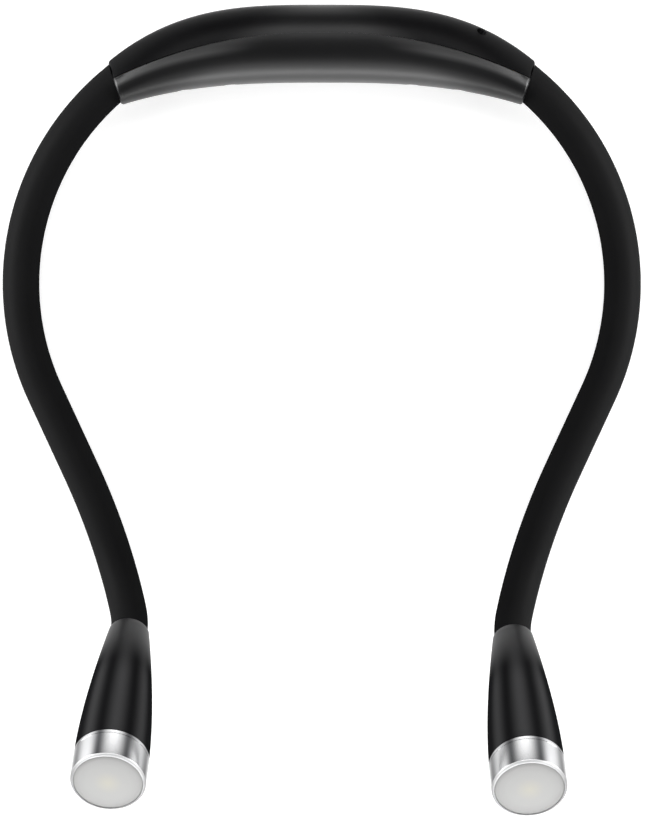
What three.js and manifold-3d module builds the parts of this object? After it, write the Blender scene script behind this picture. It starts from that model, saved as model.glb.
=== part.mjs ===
// Neck reading light: a curved battery housing that sits behind the neck, two
// silicone-covered gooseneck arms, and a lamp head at the end of each arm.
// Millimetres, +Z up. The light lies on a table: the housing is at +Y, the arms
// run towards -Y on the table and lift the two heads. +X is the right-hand arm.
import * as THREE from 'three';
import { mergeVertices } from 'three/addons/utils/BufferGeometryUtils.js';
import Module from 'manifold-3d';

const wasm = await Module();
wasm.setup();

const degree = Math.PI / 180;

// Clearances that all fits share
const seat_gap = 0.3;
const cut_overrun = 1;
const weld_distance = 0.0005;

// Housing: a crescent moulded as an outer and an inner shell. Its edges are
// power curves in plan, measured from the middle of the outer edge.
const housing_depth = 25.7;
const housing_height = 23;
const end_height = 16;
const height_power = 2.2;
const outer_half_span = 70.35;
const outer_bow = 18.9;
const outer_bow_power = 3.1;
const inner_span_drop = 4.5;
const inner_half_span = outer_half_span - inner_span_drop;
const inner_bow = 7.35;
const inner_bow_power = 2.8;
const seam_span_drop = 2.05;
const seam_half_span = outer_half_span - seam_span_drop;
const seam_inset = 9.2;
const seam_bow = 15.1;
const seam_bow_power = 2.2;
const section_power = 2.1;
const crest_lean = 0.6;
const bevel_share = 0.5;
const end_lip_radius = 1.1;
const housing_wall = 1.8;
const cavity_end_share = 0.86;
const land_depth = 0.4;
const seam_tongue = 1.4;
const housing_stations = 14;
const cavity_stations = 8;
const outer_edge_steps = 3;
const inner_edge_steps = 4;
const lip_shares = [0.7, 1];
const tongue_end_share = 0.96;

// Screws that close the housing from the neck side
const screw_station_shares = [-0.6453, -0.4264, 0.4264, 0.6453];
const screw_stations = screw_station_shares.map((share) => share * outer_half_span);
const screw_radius = 1;
const screw_head_radius = 1.9;
const screw_head_height = 1.3;
const screw_recess_depth = 3.4;
const screw_engagement_share = 0.6;
const screw_crown_share = 0.7;
const cross_slot_share = 0.6;
const screw_tip_room = 0.8;
const boss_radius = 2.7;
const cross_slot_width = 0.5;
const cross_slot_depth = 0.6;

// Battery cell and the ribs that cradle it
const battery_radius = 6.7;
const battery_length_share = 0.6823;
const battery_length = battery_length_share * outer_half_span;
const battery_offset = -1.5;
const battery_nub_radius = 2.6;
const battery_nub_height = 0.9;
const battery_edge_radius = 0.7;
const rib_thickness = 1.4;
const rib_inset = 5;

// Charging board, its socket and its indicator
const board_start_share = 0.3326;
const board_end_share = 0.7505;
const board_start = board_start_share * outer_half_span;
const board_end = board_end_share * outer_half_span;
const board_thickness = 1;
const board_drop = 4;
const ledge_thickness = 1.4;
const ledge_inset = 3;
const chip_length = 5;
const chip_width = 4;
const chip_height = 1.2;
const coil_radius = 2.2;
const coil_height = 1;
const socket_station_share = 0.5487;
const socket_station = socket_station_share * outer_half_span;
const socket_width = 7.5;
const socket_height = 2.6;
const socket_depth = 5.4;
const socket_wall = 0.35;
const socket_tongue_height = 0.6;
const socket_tongue_width = 4.4;
const socket_setback = 1.1;
const plug_recess_width = 11;
const plug_recess_height = 5.2;
const plug_recess_depth = 0.9;
const plug_corner_radius = 1.4;
const indicator_station_share = 0.7534;
const indicator_station = indicator_station_share * outer_half_span;
const indicator_rise = 2.8;
const indicator_radius = 1.6;
const indicator_setback = 0.5;
const indicator_reach = 7.4;
const charge_led_size = 1.6;
const charge_led_height = 0.8;

// Arms: silicone sleeve over a wound steel gooseneck, with the lead inside it
const sleeve_diameter = 12.1;
const gooseneck_diameter = 7.2;
const gooseneck_bore = 4.8;
const lead_width = 2.6;
const lead_thickness = 1.5;
const shoulder_start_angle = 39.7;
const shoulder_radius = 85.7;
const shoulder_turn_angle = 75.16;
const straight_run = 27.9;
const return_radius = 231.5;
const droop_angle = 10;
const rise_radius = 45;
const head_rise_angle = 47.5;
const arm_length = 200.46;
const table_gap = 0.05;
const collar_turn_length = 10;
const course_steps = 800;

// The two arms as they lie in the photograph: the right one shows a little more
// length, and each head points a few degrees outwards from straight ahead.
const right_extra_length = 1.99;
const extra_length = { left: 0, right: right_extra_length };
const head_outward_angle = { left: 7.7, right: 6 };

// Where each arm is hinged, from the housing to the head, and how its covering
// pieces divide between the hinges
const hinge_names = ['upper', 'middle', 'lower', 'end'];
const hinge_shares = [0.14, 0.4, 0.65, 0.907];
const sleeve_sides = 12;
const gooseneck_sides = 8;
const bore_sides = 6;
const lead_sides = 6;
const bend_per_ring = 11;
const bend_samples = 12;
const least_rings = 3;
const rings_per_lead_leg = 2;

// How the gooseneck is held in the housing and in the head
const housing_insert = 12;
const end_wall = 3;
const ferrule_radius = 4.5;
const ferrule_flange_radius = 5;
const ferrule_flange_thickness = 1.4;
const ferrule_length = 6.6;
const head_insert = 17;
const head_block_depth = 10;
const lead_tail = 1;

// Lamp head: tapered shell, aluminium bezel, frosted lens and what lights it
const head_rear_radius = 6.6;
const head_front_radius = 12.4;
const head_body_length = 60.1;
const head_taper_power = 1.62;
const head_rear_edge = 0.5;
const head_wall = 1.8;
const head_profile_steps = 6;
const head_inner_steps = 3;
const spigot_radius = 11.5;
const spigot_length = 6.4;
const spigot_bore = 10.2;
const slug_shoulder = 0.8;
const bezel_radius = 12.5;
const bezel_length = 12.5;
const bezel_lip_round = 0.5;
const bezel_groove_at = 1.3;
const bezel_groove_width = 0.5;
const bezel_groove_depth = 0.25;
const lens_radius = 10.85;
const lens_flange_radius = 11.5;
const lens_flange_thickness = 1.8;
const lens_dome = 0.7;
const lens_dome_steps = 2;
const reflector_flange_thickness = 1.9;
const reflector_mouth_radius = 9.3;
const reflector_throat_radius = 3.4;
const reflector_wall = 0.9;
const led_board_thickness = 1.6;
const led_chip_size = 4.2;
const led_chip_height = 0.9;
const heat_slug_length = 12;
const wire_hole_radius = 1.7;
const wire_hole_offset = 5.6;
const head_sides = 18;
const head_inner_sides = 12;
const ferrule_sides = 10;
const screw_sides = 8;

// Switch in each head: a rubbery push button over a tact switch on a small board
const button_station = 30;
const button_length = 9;
const button_width = 5.6;
const button_proud = 0.9;
const button_travel = 0.8;
const button_flange = 0.9;
const button_flange_thickness = 0.8;
const button_edge_steps = 2;
const switch_size = 6;
const switch_height = 2.5;
const switch_plunger_radius = 1.6;
const switch_plunger_height = 0.6;
const switch_board_thickness = 0.8;
const switch_board_length = 15;

// Solids: rings of points joined into closed meshes, and cuts between them

function weld(geometry) {
  const bare = new THREE.BufferGeometry();
  bare.setAttribute('position', geometry.getAttribute('position').clone());
  if (geometry.index) bare.setIndex(geometry.index.clone());
  const merged = mergeVertices(bare, weld_distance);
  const corners = merged.index.array;
  const kept = [];
  for (let i = 0; i < corners.length; i += 3) {
    const [a, b, c] = [corners[i], corners[i + 1], corners[i + 2]];
    if (a !== b && b !== c && c !== a) kept.push(a, b, c);
  }
  merged.setIndex(kept);
  return merged;
}

function signedVolume(geometry) {
  const position = geometry.getAttribute('position');
  const corners = geometry.index.array;
  const [a, b, c] = [new THREE.Vector3(), new THREE.Vector3(), new THREE.Vector3()];
  let volume = 0;
  for (let i = 0; i < corners.length; i += 3) {
    a.fromBufferAttribute(position, corners[i]);
    b.fromBufferAttribute(position, corners[i + 1]);
    c.fromBufferAttribute(position, corners[i + 2]);
    volume += a.dot(b.cross(c)) / 6;
  }
  return volume;
}

function faceOutwards(geometry) {
  if (signedVolume(geometry) > 0) return geometry;
  const corners = Array.from(geometry.index.array);
  for (let i = 0; i < corners.length; i += 3) {
    [corners[i], corners[i + 1]] = [corners[i + 1], corners[i]];
  }
  geometry.setIndex(corners);
  return geometry;
}

function loft(rings) {
  const points = rings.flat();
  const size = rings[0].length;
  const corners = [];
  for (let r = 0; r < rings.length - 1; r += 1) {
    for (let i = 0; i < size; i += 1) {
      const next = (i + 1) % size;
      const [a, b] = [r * size + i, r * size + next];
      const [c, d] = [a + size, b + size];
      corners.push(a, b, d, a, d, c);
    }
  }
  for (const ring of [0, rings.length - 1]) {
    const middle = new THREE.Vector3();
    rings[ring].forEach((point) => middle.add(point));
    points.push(middle.divideScalar(size));
    for (let i = 0; i < size; i += 1) {
      const pair = [ring * size + i, ring * size + ((i + 1) % size)];
      if (ring === 0) pair.reverse();
      corners.push(pair[0], pair[1], points.length - 1);
    }
  }
  const geometry = new THREE.BufferGeometry().setFromPoints(points);
  geometry.setIndex(corners);
  return faceOutwards(weld(geometry));
}

function solid(geometry) {
  const welded = faceOutwards(weld(geometry));
  const vertProperties = new Float32Array(welded.getAttribute('position').array);
  const triVerts = new Uint32Array(welded.index.array);
  return new wasm.Manifold(new wasm.Mesh({ numProp: 3, vertProperties, triVerts }));
}

function surface(shape) {
  const mesh = shape.getMesh();
  const geometry = new THREE.BufferGeometry();
  geometry.setAttribute('position', new THREE.BufferAttribute(mesh.vertProperties, 3));
  geometry.setIndex(Array.from(mesh.triVerts));
  return geometry;
}

function cut(base, ...tools) {
  return tools.reduce((left, tool) => left.subtract(tool), base);
}

// A cut can leave a crumb behind where two surfaces almost meet
function largestBody(shape) {
  const bodies = shape.decompose();
  return bodies.reduce((best, body) => (body.volume() > best.volume() ? body : best));
}

function join(base, ...others) {
  return others.reduce((sum, other) => sum.add(other), base);
}

// A turned piece about +Z, from points given as [radius, height]
function turned(profile, sides) {
  const outline = profile.map(([radius, height]) => new THREE.Vector2(radius, height));
  return new THREE.LatheGeometry(outline, sides).rotateX(Math.PI / 2);
}

// A hole with flat sides has to stand clear of the corners of what goes into it
function clearRadius(radius, sides) {
  return (radius + seat_gap) / Math.cos(Math.PI / sides);
}

function rod(radius, from, to, sides) {
  return turned([[0, from], [radius, from], [radius, to], [0, to]], sides);
}

function block(low, high) {
  const size = high.clone().sub(low);
  const middle = high.clone().add(low).multiplyScalar(0.5);
  const box = new THREE.BoxGeometry(size.x, size.y, size.z);
  return box.translate(middle.x, middle.y, middle.z);
}

function roundedPlate(length, width, corner, thickness, steps) {
  const [x, y] = [length / 2, width / 2];
  const shape = new THREE.Shape();
  shape.moveTo(-x + corner, -y);
  shape.lineTo(x - corner, -y);
  shape.absarc(x - corner, -y + corner, corner, -Math.PI / 2, 0, false);
  shape.lineTo(x, y - corner);
  shape.absarc(x - corner, y - corner, corner, 0, Math.PI / 2, false);
  shape.lineTo(-x + corner, y);
  shape.absarc(-x + corner, y - corner, corner, Math.PI / 2, Math.PI, false);
  shape.lineTo(-x, -y + corner);
  shape.absarc(-x + corner, -y + corner, corner, Math.PI, 1.5 * Math.PI, false);
  return new THREE.ExtrudeGeometry(shape, {
    depth: thickness, bevelEnabled: false, curveSegments: steps,
  });
}

// Materials, one for each finish on the real light

function finish(color, roughness, metalness) {
  return new THREE.MeshStandardMaterial({ color, roughness, metalness });
}

const materials = {
  satin_black: finish(0x1b1b1c, 0.38, 0),
  silicone: finish(0x1a1a1a, 0.8, 0),
  aluminium: finish(0xc9c9cc, 0.22, 1),
  steel: finish(0x9a9a98, 0.4, 1),
  brass: finish(0xb08d4a, 0.35, 1),
  frosted: finish(0xdcdcd8, 0.55, 0),
  white_plastic: finish(0xeeeeea, 0.3, 0),
  clear_plastic: finish(0x3a3a3c, 0.2, 0),
  circuit_board: finish(0x1f5a38, 0.5, 0),
  battery_wrap: finish(0x2f6fa8, 0.35, 0),
  wire_red: finish(0xa82a22, 0.5, 0),
  wire_black: finish(0x161616, 0.5, 0),
};

const light = new THREE.Group();

function piece(name, geometry, material, parent = light) {
  const shape = geometry.isBufferGeometry ? geometry : surface(geometry);
  const mesh = new THREE.Mesh(faceOutwards(weld(shape)), material);
  mesh.name = name;
  parent.add(mesh);
  return mesh;
}

// Housing form. u runs from -1 at the left end to 1 at the right end, and each
// section stands on the line from the outer edge to the inner edge at that u.

const mid_height = housing_height / 2 - land_depth;

function outerEdge(u) {
  const drop = outer_bow * Math.abs(u) ** outer_bow_power;
  return new THREE.Vector2(outer_half_span * u, -drop);
}

function innerEdge(u) {
  const drop = inner_bow * Math.abs(u) ** inner_bow_power;
  return new THREE.Vector2(inner_half_span * u, -housing_depth - drop);
}

function seamShare(u) {
  const drop = seam_inset + seam_bow * Math.abs(u) ** seam_bow_power;
  const seam = new THREE.Vector2(seam_half_span * u, -drop);
  const outer = outerEdge(u);
  const line = innerEdge(u).sub(outer);
  return seam.sub(outer).dot(line) / line.lengthSq();
}

function seamPoint(u) {
  return outerEdge(u).lerp(innerEdge(u), seamShare(u));
}

// Height of a section at share q of its width: a rounded crest that leans
// towards the neck near the ends, where the outer shell also falls away as a
// bevel and leaves the crease that runs along the seam.
function sectionHeight(u, q, half_height, seam) {
  const lean = 1 + crest_lean * u ** 4;
  const rounded = (share) => {
    const offset = Math.abs(2 * share ** lean - 1);
    return half_height * Math.max(0, 1 - offset ** section_power) ** (1 / section_power);
  };
  if (q >= seam) return rounded(q);
  const bevel = bevel_share * u ** 4;
  return THREE.MathUtils.lerp(rounded(q), (rounded(seam) * q) / seam, bevel);
}

function housingSection(u, inset) {
  const outer = outerEdge(u);
  const line = innerEdge(u).sub(outer);
  const width = line.length();
  const across = line.clone().normalize();
  const start = outer.clone().addScaledVector(across, inset);
  const inner_width = width - 2 * inset;
  const swell = (housing_height - end_height) / 2;
  const half_height = housing_height / 2 - swell * Math.abs(u) ** height_power - inset;
  const seam = (seamShare(u) * width - inset) / inner_width;
  const shares = [];
  for (let i = 0; i < outer_edge_steps; i += 1) {
    shares.push(seam * (1 - Math.cos((i / outer_edge_steps) * (Math.PI / 2))));
  }
  for (let i = 0; i <= inner_edge_steps; i += 1) {
    shares.push(seam + (1 - seam) * Math.sin((i / inner_edge_steps) * (Math.PI / 2)));
  }
  const place = (q, side) => {
    const plan = start.clone().addScaledVector(across, q * inner_width);
    const rise = side * sectionHeight(u, q, half_height, seam);
    return new THREE.Vector3(plan.x, plan.y, mid_height + rise);
  };
  const over = shares.map((q) => place(q, 1));
  const under = shares.slice(1, -1).reverse().map((q) => place(q, -1));
  return [...over, ...under];
}

function housingLoft(inset, reach, stations) {
  const rings = [];
  for (let i = 0; i <= stations; i += 1) {
    rings.push(housingSection(reach * ((2 * i) / stations - 1), inset));
  }
  return loft(rings);
}

// The outside, with the small round at the rim of each end face
function housingOutside() {
  const end_speed = Math.hypot(outer_half_span, outer_bow * outer_bow_power);
  const lip_share = end_lip_radius / end_speed;
  const straight = 1 - lip_share;
  const stations = [];
  for (let i = 0; i <= housing_stations; i += 1) {
    stations.push([straight * ((2 * i) / housing_stations - 1), 0]);
  }
  for (const t of lip_shares) {
    const rounding = end_lip_radius * (1 - Math.sqrt(1 - t * t));
    stations.push([straight + lip_share * t, rounding]);
    stations.unshift([-straight - lip_share * t, rounding]);
  }
  return loft(stations.map(([u, inset]) => housingSection(u, inset)));
}

// Everything on the outer side of the seam, moved towards the neck by a shift
function outerSide(shift) {
  const reach = outer_half_span + housing_depth;
  const shape = new THREE.Shape();
  const ends = [seamPoint(-1), seamPoint(1)];
  const fall = seam_bow + seam_inset;
  shape.moveTo(-reach, ends[0].y - fall - shift);
  for (let i = 0; i <= housing_stations; i += 1) {
    const point = seamPoint((2 * i) / housing_stations - 1);
    shape.lineTo(point.x, point.y - shift);
  }
  shape.lineTo(reach, ends[1].y - fall - shift);
  shape.lineTo(reach, housing_depth);
  shape.lineTo(-reach, housing_depth);
  const height = 2 * housing_height;
  const prism = new THREE.ExtrudeGeometry(shape, { depth: height, bevelEnabled: false });
  return solid(prism.translate(0, 0, mid_height - height / 2));
}

// Where an edge of the plan stands at a distance x from the middle
function edgeAt(x, edge, half_span) {
  return edge(x / half_span).y;
}

const end_face = outerEdge(1).add(innerEdge(1)).multiplyScalar(0.5);

// Course of an arm. It starts at the middle of the housing's end face, turns
// through the shoulder, runs straight, bends back and rises to the head.

const sleeve_radius = sleeve_diameter / 2;
const droop = mid_height - sleeve_radius - table_gap;
const droop_length = (droop / (2 * (1 - Math.cos(droop_angle * degree)))) * droop_angle * degree;
const shoulder_length = shoulder_radius * shoulder_turn_angle * degree;
const rise_length = rise_radius * head_rise_angle * degree;

function armCourse(side) {
  const sign = side === 'left' ? -1 : 1;
  const length = arm_length + extra_length[side];
  const return_start = shoulder_length + straight_run;
  const return_length = length - return_start;
  const return_turn = return_length / return_radius / degree;
  const heading_before = shoulder_start_angle + shoulder_turn_angle - return_turn;
  const collar_turn = heading_before - (90 - head_outward_angle[side]);
  const ramp = (s, start, span) => THREE.MathUtils.clamp((s - start) / span, 0, 1);
  const heading = (s) => degree * (shoulder_start_angle
    + shoulder_turn_angle * ramp(s, 0, shoulder_length)
    - return_turn * ramp(s, return_start, return_length)
    - collar_turn * ramp(s, length - collar_turn_length, collar_turn_length));
  const elevation = (s) => degree * (
    -droop_angle * ramp(s, 0, droop_length)
    + droop_angle * ramp(s, droop_length, droop_length)
    + head_rise_angle * ramp(s, length - rise_length, rise_length));
  const direction = (s) => new THREE.Vector3(
    sign * Math.cos(elevation(s)) * Math.cos(heading(s)),
    -Math.cos(elevation(s)) * Math.sin(heading(s)),
    Math.sin(elevation(s)),
  );
  const step = length / course_steps;
  const points = [new THREE.Vector3(sign * end_face.x, end_face.y, mid_height)];
  for (let i = 0; i < course_steps; i += 1) {
    const middle = direction((i + 0.5) * step);
    points.push(points[i].clone().addScaledVector(middle, step));
  }
  const at = (s) => {
    const place = THREE.MathUtils.clamp(s / step, 0, course_steps);
    const index = Math.min(Math.floor(place), course_steps - 1);
    const origin = points[index].clone().lerp(points[index + 1], place - index);
    const along = direction(s);
    origin.addScaledVector(along, s - place * step);
    const across = new THREE.Vector3(0, 0, 1).cross(along).normalize();
    const up = along.clone().cross(across);
    return { origin, along, across, up };
  };
  return { side, sign, length, at, heading, elevation };
}

function frameMatrix(frame) {
  const basis = new THREE.Matrix4().makeBasis(frame.across, frame.up, frame.along);
  return basis.setPosition(frame.origin);
}

function regularOutline(radius_across, radius_up, sides) {
  const outline = [];
  for (let i = 0; i < sides; i += 1) {
    const angle = ((i + 0.5) / sides) * 2 * Math.PI;
    outline.push([radius_across * Math.cos(angle), radius_up * Math.sin(angle)]);
  }
  return outline;
}

function ringAt(frame, outline) {
  return outline.map(([across, up]) => frame.origin.clone()
    .addScaledVector(frame.across, across)
    .addScaledVector(frame.up, up));
}

function bendBetween(course, from, to) {
  const step = (to - from) / bend_samples;
  let bend = 0;
  for (let i = 0; i < bend_samples; i += 1) {
    const [a, b] = [i, i + 1].map((count) => course.at(from + step * count).along);
    bend += a.angleTo(b) / degree;
  }
  return bend;
}

function armRings(course, outline, from, to) {
  const bend = bendBetween(course, from, to);
  const count = Math.max(least_rings, Math.ceil(bend / bend_per_ring) + 1);
  const rings = [];
  for (let i = 0; i <= count; i += 1) {
    rings.push(ringAt(course.at(from + ((to - from) * i) / count), outline));
  }
  return rings;
}

// The ring where the sleeve meets the housing lies in the plane of the end face
function sleeveRings(course, outline, from, to) {
  const rings = armRings(course, outline, from, to);
  if (from > seat_gap) return rings;
  const outer = outerEdge(course.sign);
  const edge = innerEdge(course.sign).sub(outer);
  const normal = new THREE.Vector3(edge.y, -edge.x, 0).normalize();
  if (normal.x * course.sign < 0) normal.negate();
  const start = course.at(0);
  const face = start.origin.clone().addScaledVector(normal, seat_gap);
  rings[0] = outline.map(([across, up]) => {
    const point = start.origin.clone().addScaledVector(start.across, across)
      .addScaledVector(start.up, up);
    const travel = face.clone().sub(point).dot(normal) / start.along.dot(normal);
    return point.addScaledVector(start.along, travel);
  });
  return rings;
}

const courses = { left: armCourse('left'), right: armCourse('right') };

// Where the sleeve, gooseneck and lead divide: midway between two hinges
function divisions(course) {
  const hinges = hinge_shares.map((share) => share * course.length);
  const between = hinges.slice(1).map((hinge, i) => (hinge + hinges[i]) / 2);
  return { hinges, between };
}

// Housing shells

const cavity_shape = solid(housingLoft(housing_wall, cavity_end_share, cavity_stations));
const battery_centre = new THREE.Vector3(battery_offset, -housing_depth / 2, mid_height);
const board_top = mid_height - board_drop;

function alongX(geometry, centre) {
  return geometry.rotateY(Math.PI / 2).translate(centre.x, centre.y, centre.z);
}

// Turns a piece about +Z so that it runs along +Y from a point on the neck side
function alongY(geometry, x, y, z) {
  return geometry.rotateX(-Math.PI / 2).translate(x, y, z);
}

function screwPlaces(x) {
  const neck_side = edgeAt(x, innerEdge, inner_half_span);
  const seam = edgeAt(x, seamPoint, seam_half_span);
  const outside = edgeAt(x, outerEdge, outer_half_span);
  const seat = neck_side + screw_recess_depth;
  const tip = seam + screw_engagement_share * (outside - seam);
  return { x, neck_side, seam, outside, seat, tip };
}

function screwBoss(x) {
  const { neck_side, outside } = screwPlaces(x);
  const margin = housing_wall / 2;
  const boss = rod(boss_radius, neck_side + margin, outside - margin, screw_sides);
  return solid(alongY(boss, x, 0, mid_height));
}

function screwCuts(x) {
  const { neck_side, seat, tip } = screwPlaces(x);
  const recess_radius = clearRadius(screw_head_radius, screw_sides);
  const hole_radius = clearRadius(screw_radius, screw_sides);
  const recess = rod(recess_radius, neck_side - cut_overrun, seat, screw_sides);
  const hole = rod(hole_radius, seat - cut_overrun, tip + screw_tip_room, screw_sides);
  return [recess, hole].map((tool) => solid(alongY(tool, x, 0, mid_height)));
}

// A wall across the housing, from below it up to a given height
function crossWall(x, thickness, top) {
  const low = new THREE.Vector3(x - thickness / 2, -2 * housing_depth, -housing_height);
  const high = new THREE.Vector3(x + thickness / 2, housing_depth, top);
  return solid(block(low, high));
}

function ribs() {
  const offset = battery_length / 2 - rib_inset;
  return [-offset, offset].map((along) => crossWall(
    battery_offset + along, rib_thickness, 2 * housing_height));
}

function boardLedges() {
  const under = board_top - board_thickness - seat_gap;
  return [board_start + ledge_inset, board_end - ledge_inset].map((x) => crossWall(
    x, ledge_thickness, under));
}

// The battery lies in the ribs, and the left arm's lead passes over it
const lead_pass_z = mid_height + battery_radius + 2 * seat_gap + lead_thickness / 2;

function ribOpenings() {
  const reach = battery_length / 2 + cut_overrun;
  const bed_radius = clearRadius(battery_radius, head_inner_sides);
  const bed = rod(bed_radius, -reach, reach, head_inner_sides);
  const pass_radius = clearRadius(lead_width / 2 + seat_gap, lead_sides);
  const pass = rod(pass_radius, -reach, reach, lead_sides);
  const pass_centre = battery_centre.clone().setZ(lead_pass_z);
  return [solid(alongX(bed, battery_centre)), solid(alongX(pass, pass_centre))];
}

// A hole for the gooseneck, a groove that grips the flange of its ferrule and a
// bore for the rest of the ferrule, which opens into the cavity
function gooseneckCuts(course) {
  const frame = frameMatrix(course.at(0));
  const groove_end = -end_wall - ferrule_flange_thickness - 2 * seat_gap;
  const bore_end = -housing_insert - 2 * cut_overrun;
  const steps = [
    [gooseneck_diameter / 2, bore_end, gooseneck_diameter],
    [ferrule_flange_radius, groove_end, -end_wall],
    [ferrule_radius, bore_end, -end_wall],
  ];
  return steps.map(([radius, from, to]) => {
    const tool = rod(clearRadius(radius, ferrule_sides), from, to, ferrule_sides);
    return solid(tool.applyMatrix4(frame));
  });
}

// A place on the outer face: its point and the way that the face looks there
function outerFacePlace(x, rise) {
  const u = x / outer_half_span;
  const point = outerEdge(u);
  const step = 1 / (4 * housing_stations);
  const tangent = outerEdge(u + step).sub(outerEdge(u - step)).normalize();
  const outward = new THREE.Vector3(-tangent.y, tangent.x, 0);
  const origin = new THREE.Vector3(point.x, point.y, mid_height + rise);
  const across = new THREE.Vector3(tangent.x, tangent.y, 0);
  const up = outward.clone().cross(across);
  return { origin, along: outward, across, up };
}

const socket_rise = board_top + socket_height / 2 - mid_height;
const socket_place = outerFacePlace(socket_station, socket_rise);
const indicator_place = outerFacePlace(indicator_station, indicator_rise);

function socketCuts() {
  const matrix = frameMatrix(socket_place);
  const window = roundedPlate(
    socket_width + 2 * seat_gap,
    socket_height + 2 * seat_gap,
    2 * seat_gap,
    housing_depth / 2,
    2,
  ).translate(0, 0, -housing_depth / 4);
  const recess = roundedPlate(
    plug_recess_width,
    plug_recess_height,
    plug_corner_radius,
    housing_depth / 4,
    2,
  ).translate(0, 0, -plug_recess_depth);
  return [window, recess].map((tool) => solid(tool.applyMatrix4(matrix)));
}

function indicatorCut() {
  const radius = clearRadius(indicator_radius, ferrule_sides);
  const hole = rod(radius, -indicator_reach, housing_depth, ferrule_sides);
  return solid(hole.applyMatrix4(frameMatrix(indicator_place)));
}

// The inside of the walls along the seam, which carries the tongue
function seamCore(inset, end_room) {
  const reach = tongue_end_share + end_room / outer_half_span;
  return solid(housingLoft(inset, reach, cavity_stations));
}

function buildHousing() {
  const land_cut = block(
    new THREE.Vector3(-outer_half_span, -2 * housing_depth, -housing_height),
    new THREE.Vector3(outer_half_span, housing_depth, 0),
  );
  const bosses = screw_stations.map(screwBoss);
  const hollow = join(
    cut(cavity_shape, ...bosses, ...ribs(), ...boardLedges()),
    ...ribOpenings().map((opening) => opening.intersect(cavity_shape)),
  );
  const moulding = cut(
    solid(housingOutside()),
    solid(land_cut),
    hollow,
    ...screw_stations.flatMap(screwCuts),
    ...gooseneckCuts(courses.left),
    ...gooseneckCuts(courses.right),
    ...socketCuts(),
    indicatorCut(),
  );
  // The shells meet along a stepped seam: a tongue inside, a rebate round it
  const tongue_core = seamCore(housing_wall / 2 + seat_gap / 2, 0);
  const rebate_core = seamCore(housing_wall / 2 - seat_gap / 2, seat_gap);
  const tongue_zone = tongue_core.intersect(outerSide(seam_tongue));
  const rebate_zone = rebate_core.intersect(outerSide(seam_tongue + seat_gap));
  const outer_zone = join(outerSide(-seat_gap / 2), tongue_zone);
  const outer_shell = largestBody(moulding.intersect(outer_zone));
  const inner_shell = largestBody(cut(moulding, outerSide(seat_gap / 2), rebate_zone));
  piece('outer_shell', outer_shell, materials.satin_black);
  piece('inner_shell', inner_shell, materials.satin_black);
}

function buildScrews() {
  screw_stations.forEach((x, i) => {
    const { seat, tip } = screwPlaces(x);
    const head_top = seat - seat_gap - screw_head_height;
    const profile = [
      [0, head_top],
      [screw_crown_share * screw_head_radius, head_top],
      [screw_head_radius, seat - seat_gap - screw_head_height / 2],
      [screw_head_radius, seat - seat_gap],
      [screw_radius, seat - seat_gap],
      [screw_radius, tip - screw_radius],
      [0, tip],
    ];
    const screw = solid(alongY(turned(profile, screw_sides), x, 0, mid_height));
    const slots = [0, Math.PI / 2].map((turn) => {
      const reach = cross_slot_share * screw_head_radius;
      const slot = new THREE.BoxGeometry(2 * reach, cross_slot_width, 2 * cross_slot_depth);
      return solid(alongY(slot.rotateZ(turn).translate(0, 0, head_top), x, 0, mid_height));
    });
    piece(`shell_screw_${i + 1}`, cut(screw, ...slots), materials.steel);
  });
}

function buildBattery() {
  const [start, end] = [-battery_length / 2, battery_length / 2 - battery_nub_height];
  const profile = [
    [0, start],
    [battery_radius - battery_edge_radius, start],
    [battery_radius, start + battery_edge_radius],
    [battery_radius, end - battery_edge_radius],
    [battery_radius - battery_edge_radius, end],
    [battery_nub_radius, end],
    [battery_nub_radius, end + battery_nub_height],
    [0, end + battery_nub_height],
  ];
  piece('battery_cell', alongX(turned(profile, head_inner_sides), battery_centre),
    materials.battery_wrap);
}

// Charging board: it fills the right-hand end of the cavity from wall to wall
function buildBoard() {
  const bottom = board_top - board_thickness;
  const slab = block(
    new THREE.Vector3(board_start, -3 * housing_depth, bottom),
    new THREE.Vector3(board_end, housing_depth, board_top),
  );
  const room_inset = housing_wall + 2 * seat_gap;
  const room = solid(housingLoft(room_inset, cavity_end_share, cavity_stations));
  const chip_y = edgeAt(socket_station, innerEdge, inner_half_span) + housing_depth / 4;
  const chip_base = board_top - board_thickness / 2;
  const chip = block(
    new THREE.Vector3(socket_station - chip_length / 2, chip_y - chip_width / 2, chip_base),
    new THREE.Vector3(
      socket_station + chip_length / 2,
      chip_y + chip_width / 2,
      board_top + chip_height,
    ),
  );
  const coil = rod(coil_radius, chip_base, board_top + coil_height, bore_sides)
    .translate(socket_station - chip_length - coil_radius, chip_y + chip_width, 0);
  const led = indicatorFoot();
  const led_half = charge_led_size / 2;
  const charge_led = block(
    new THREE.Vector3(led.x - led_half, led.y - led_half, chip_base),
    new THREE.Vector3(led.x + led_half, led.y + led_half, board_top + charge_led_height),
  );
  const board = join(
    room.intersect(solid(slab)),
    solid(chip),
    solid(coil),
    solid(charge_led),
  );
  piece('charge_board', board, materials.circuit_board);
}

// The spot on the board under the inner end of the light pipe
function indicatorFoot() {
  const inner_end = indicator_setback + indicator_reach - indicator_radius;
  return indicator_place.origin.clone().addScaledVector(indicator_place.along, -inner_end);
}

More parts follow.
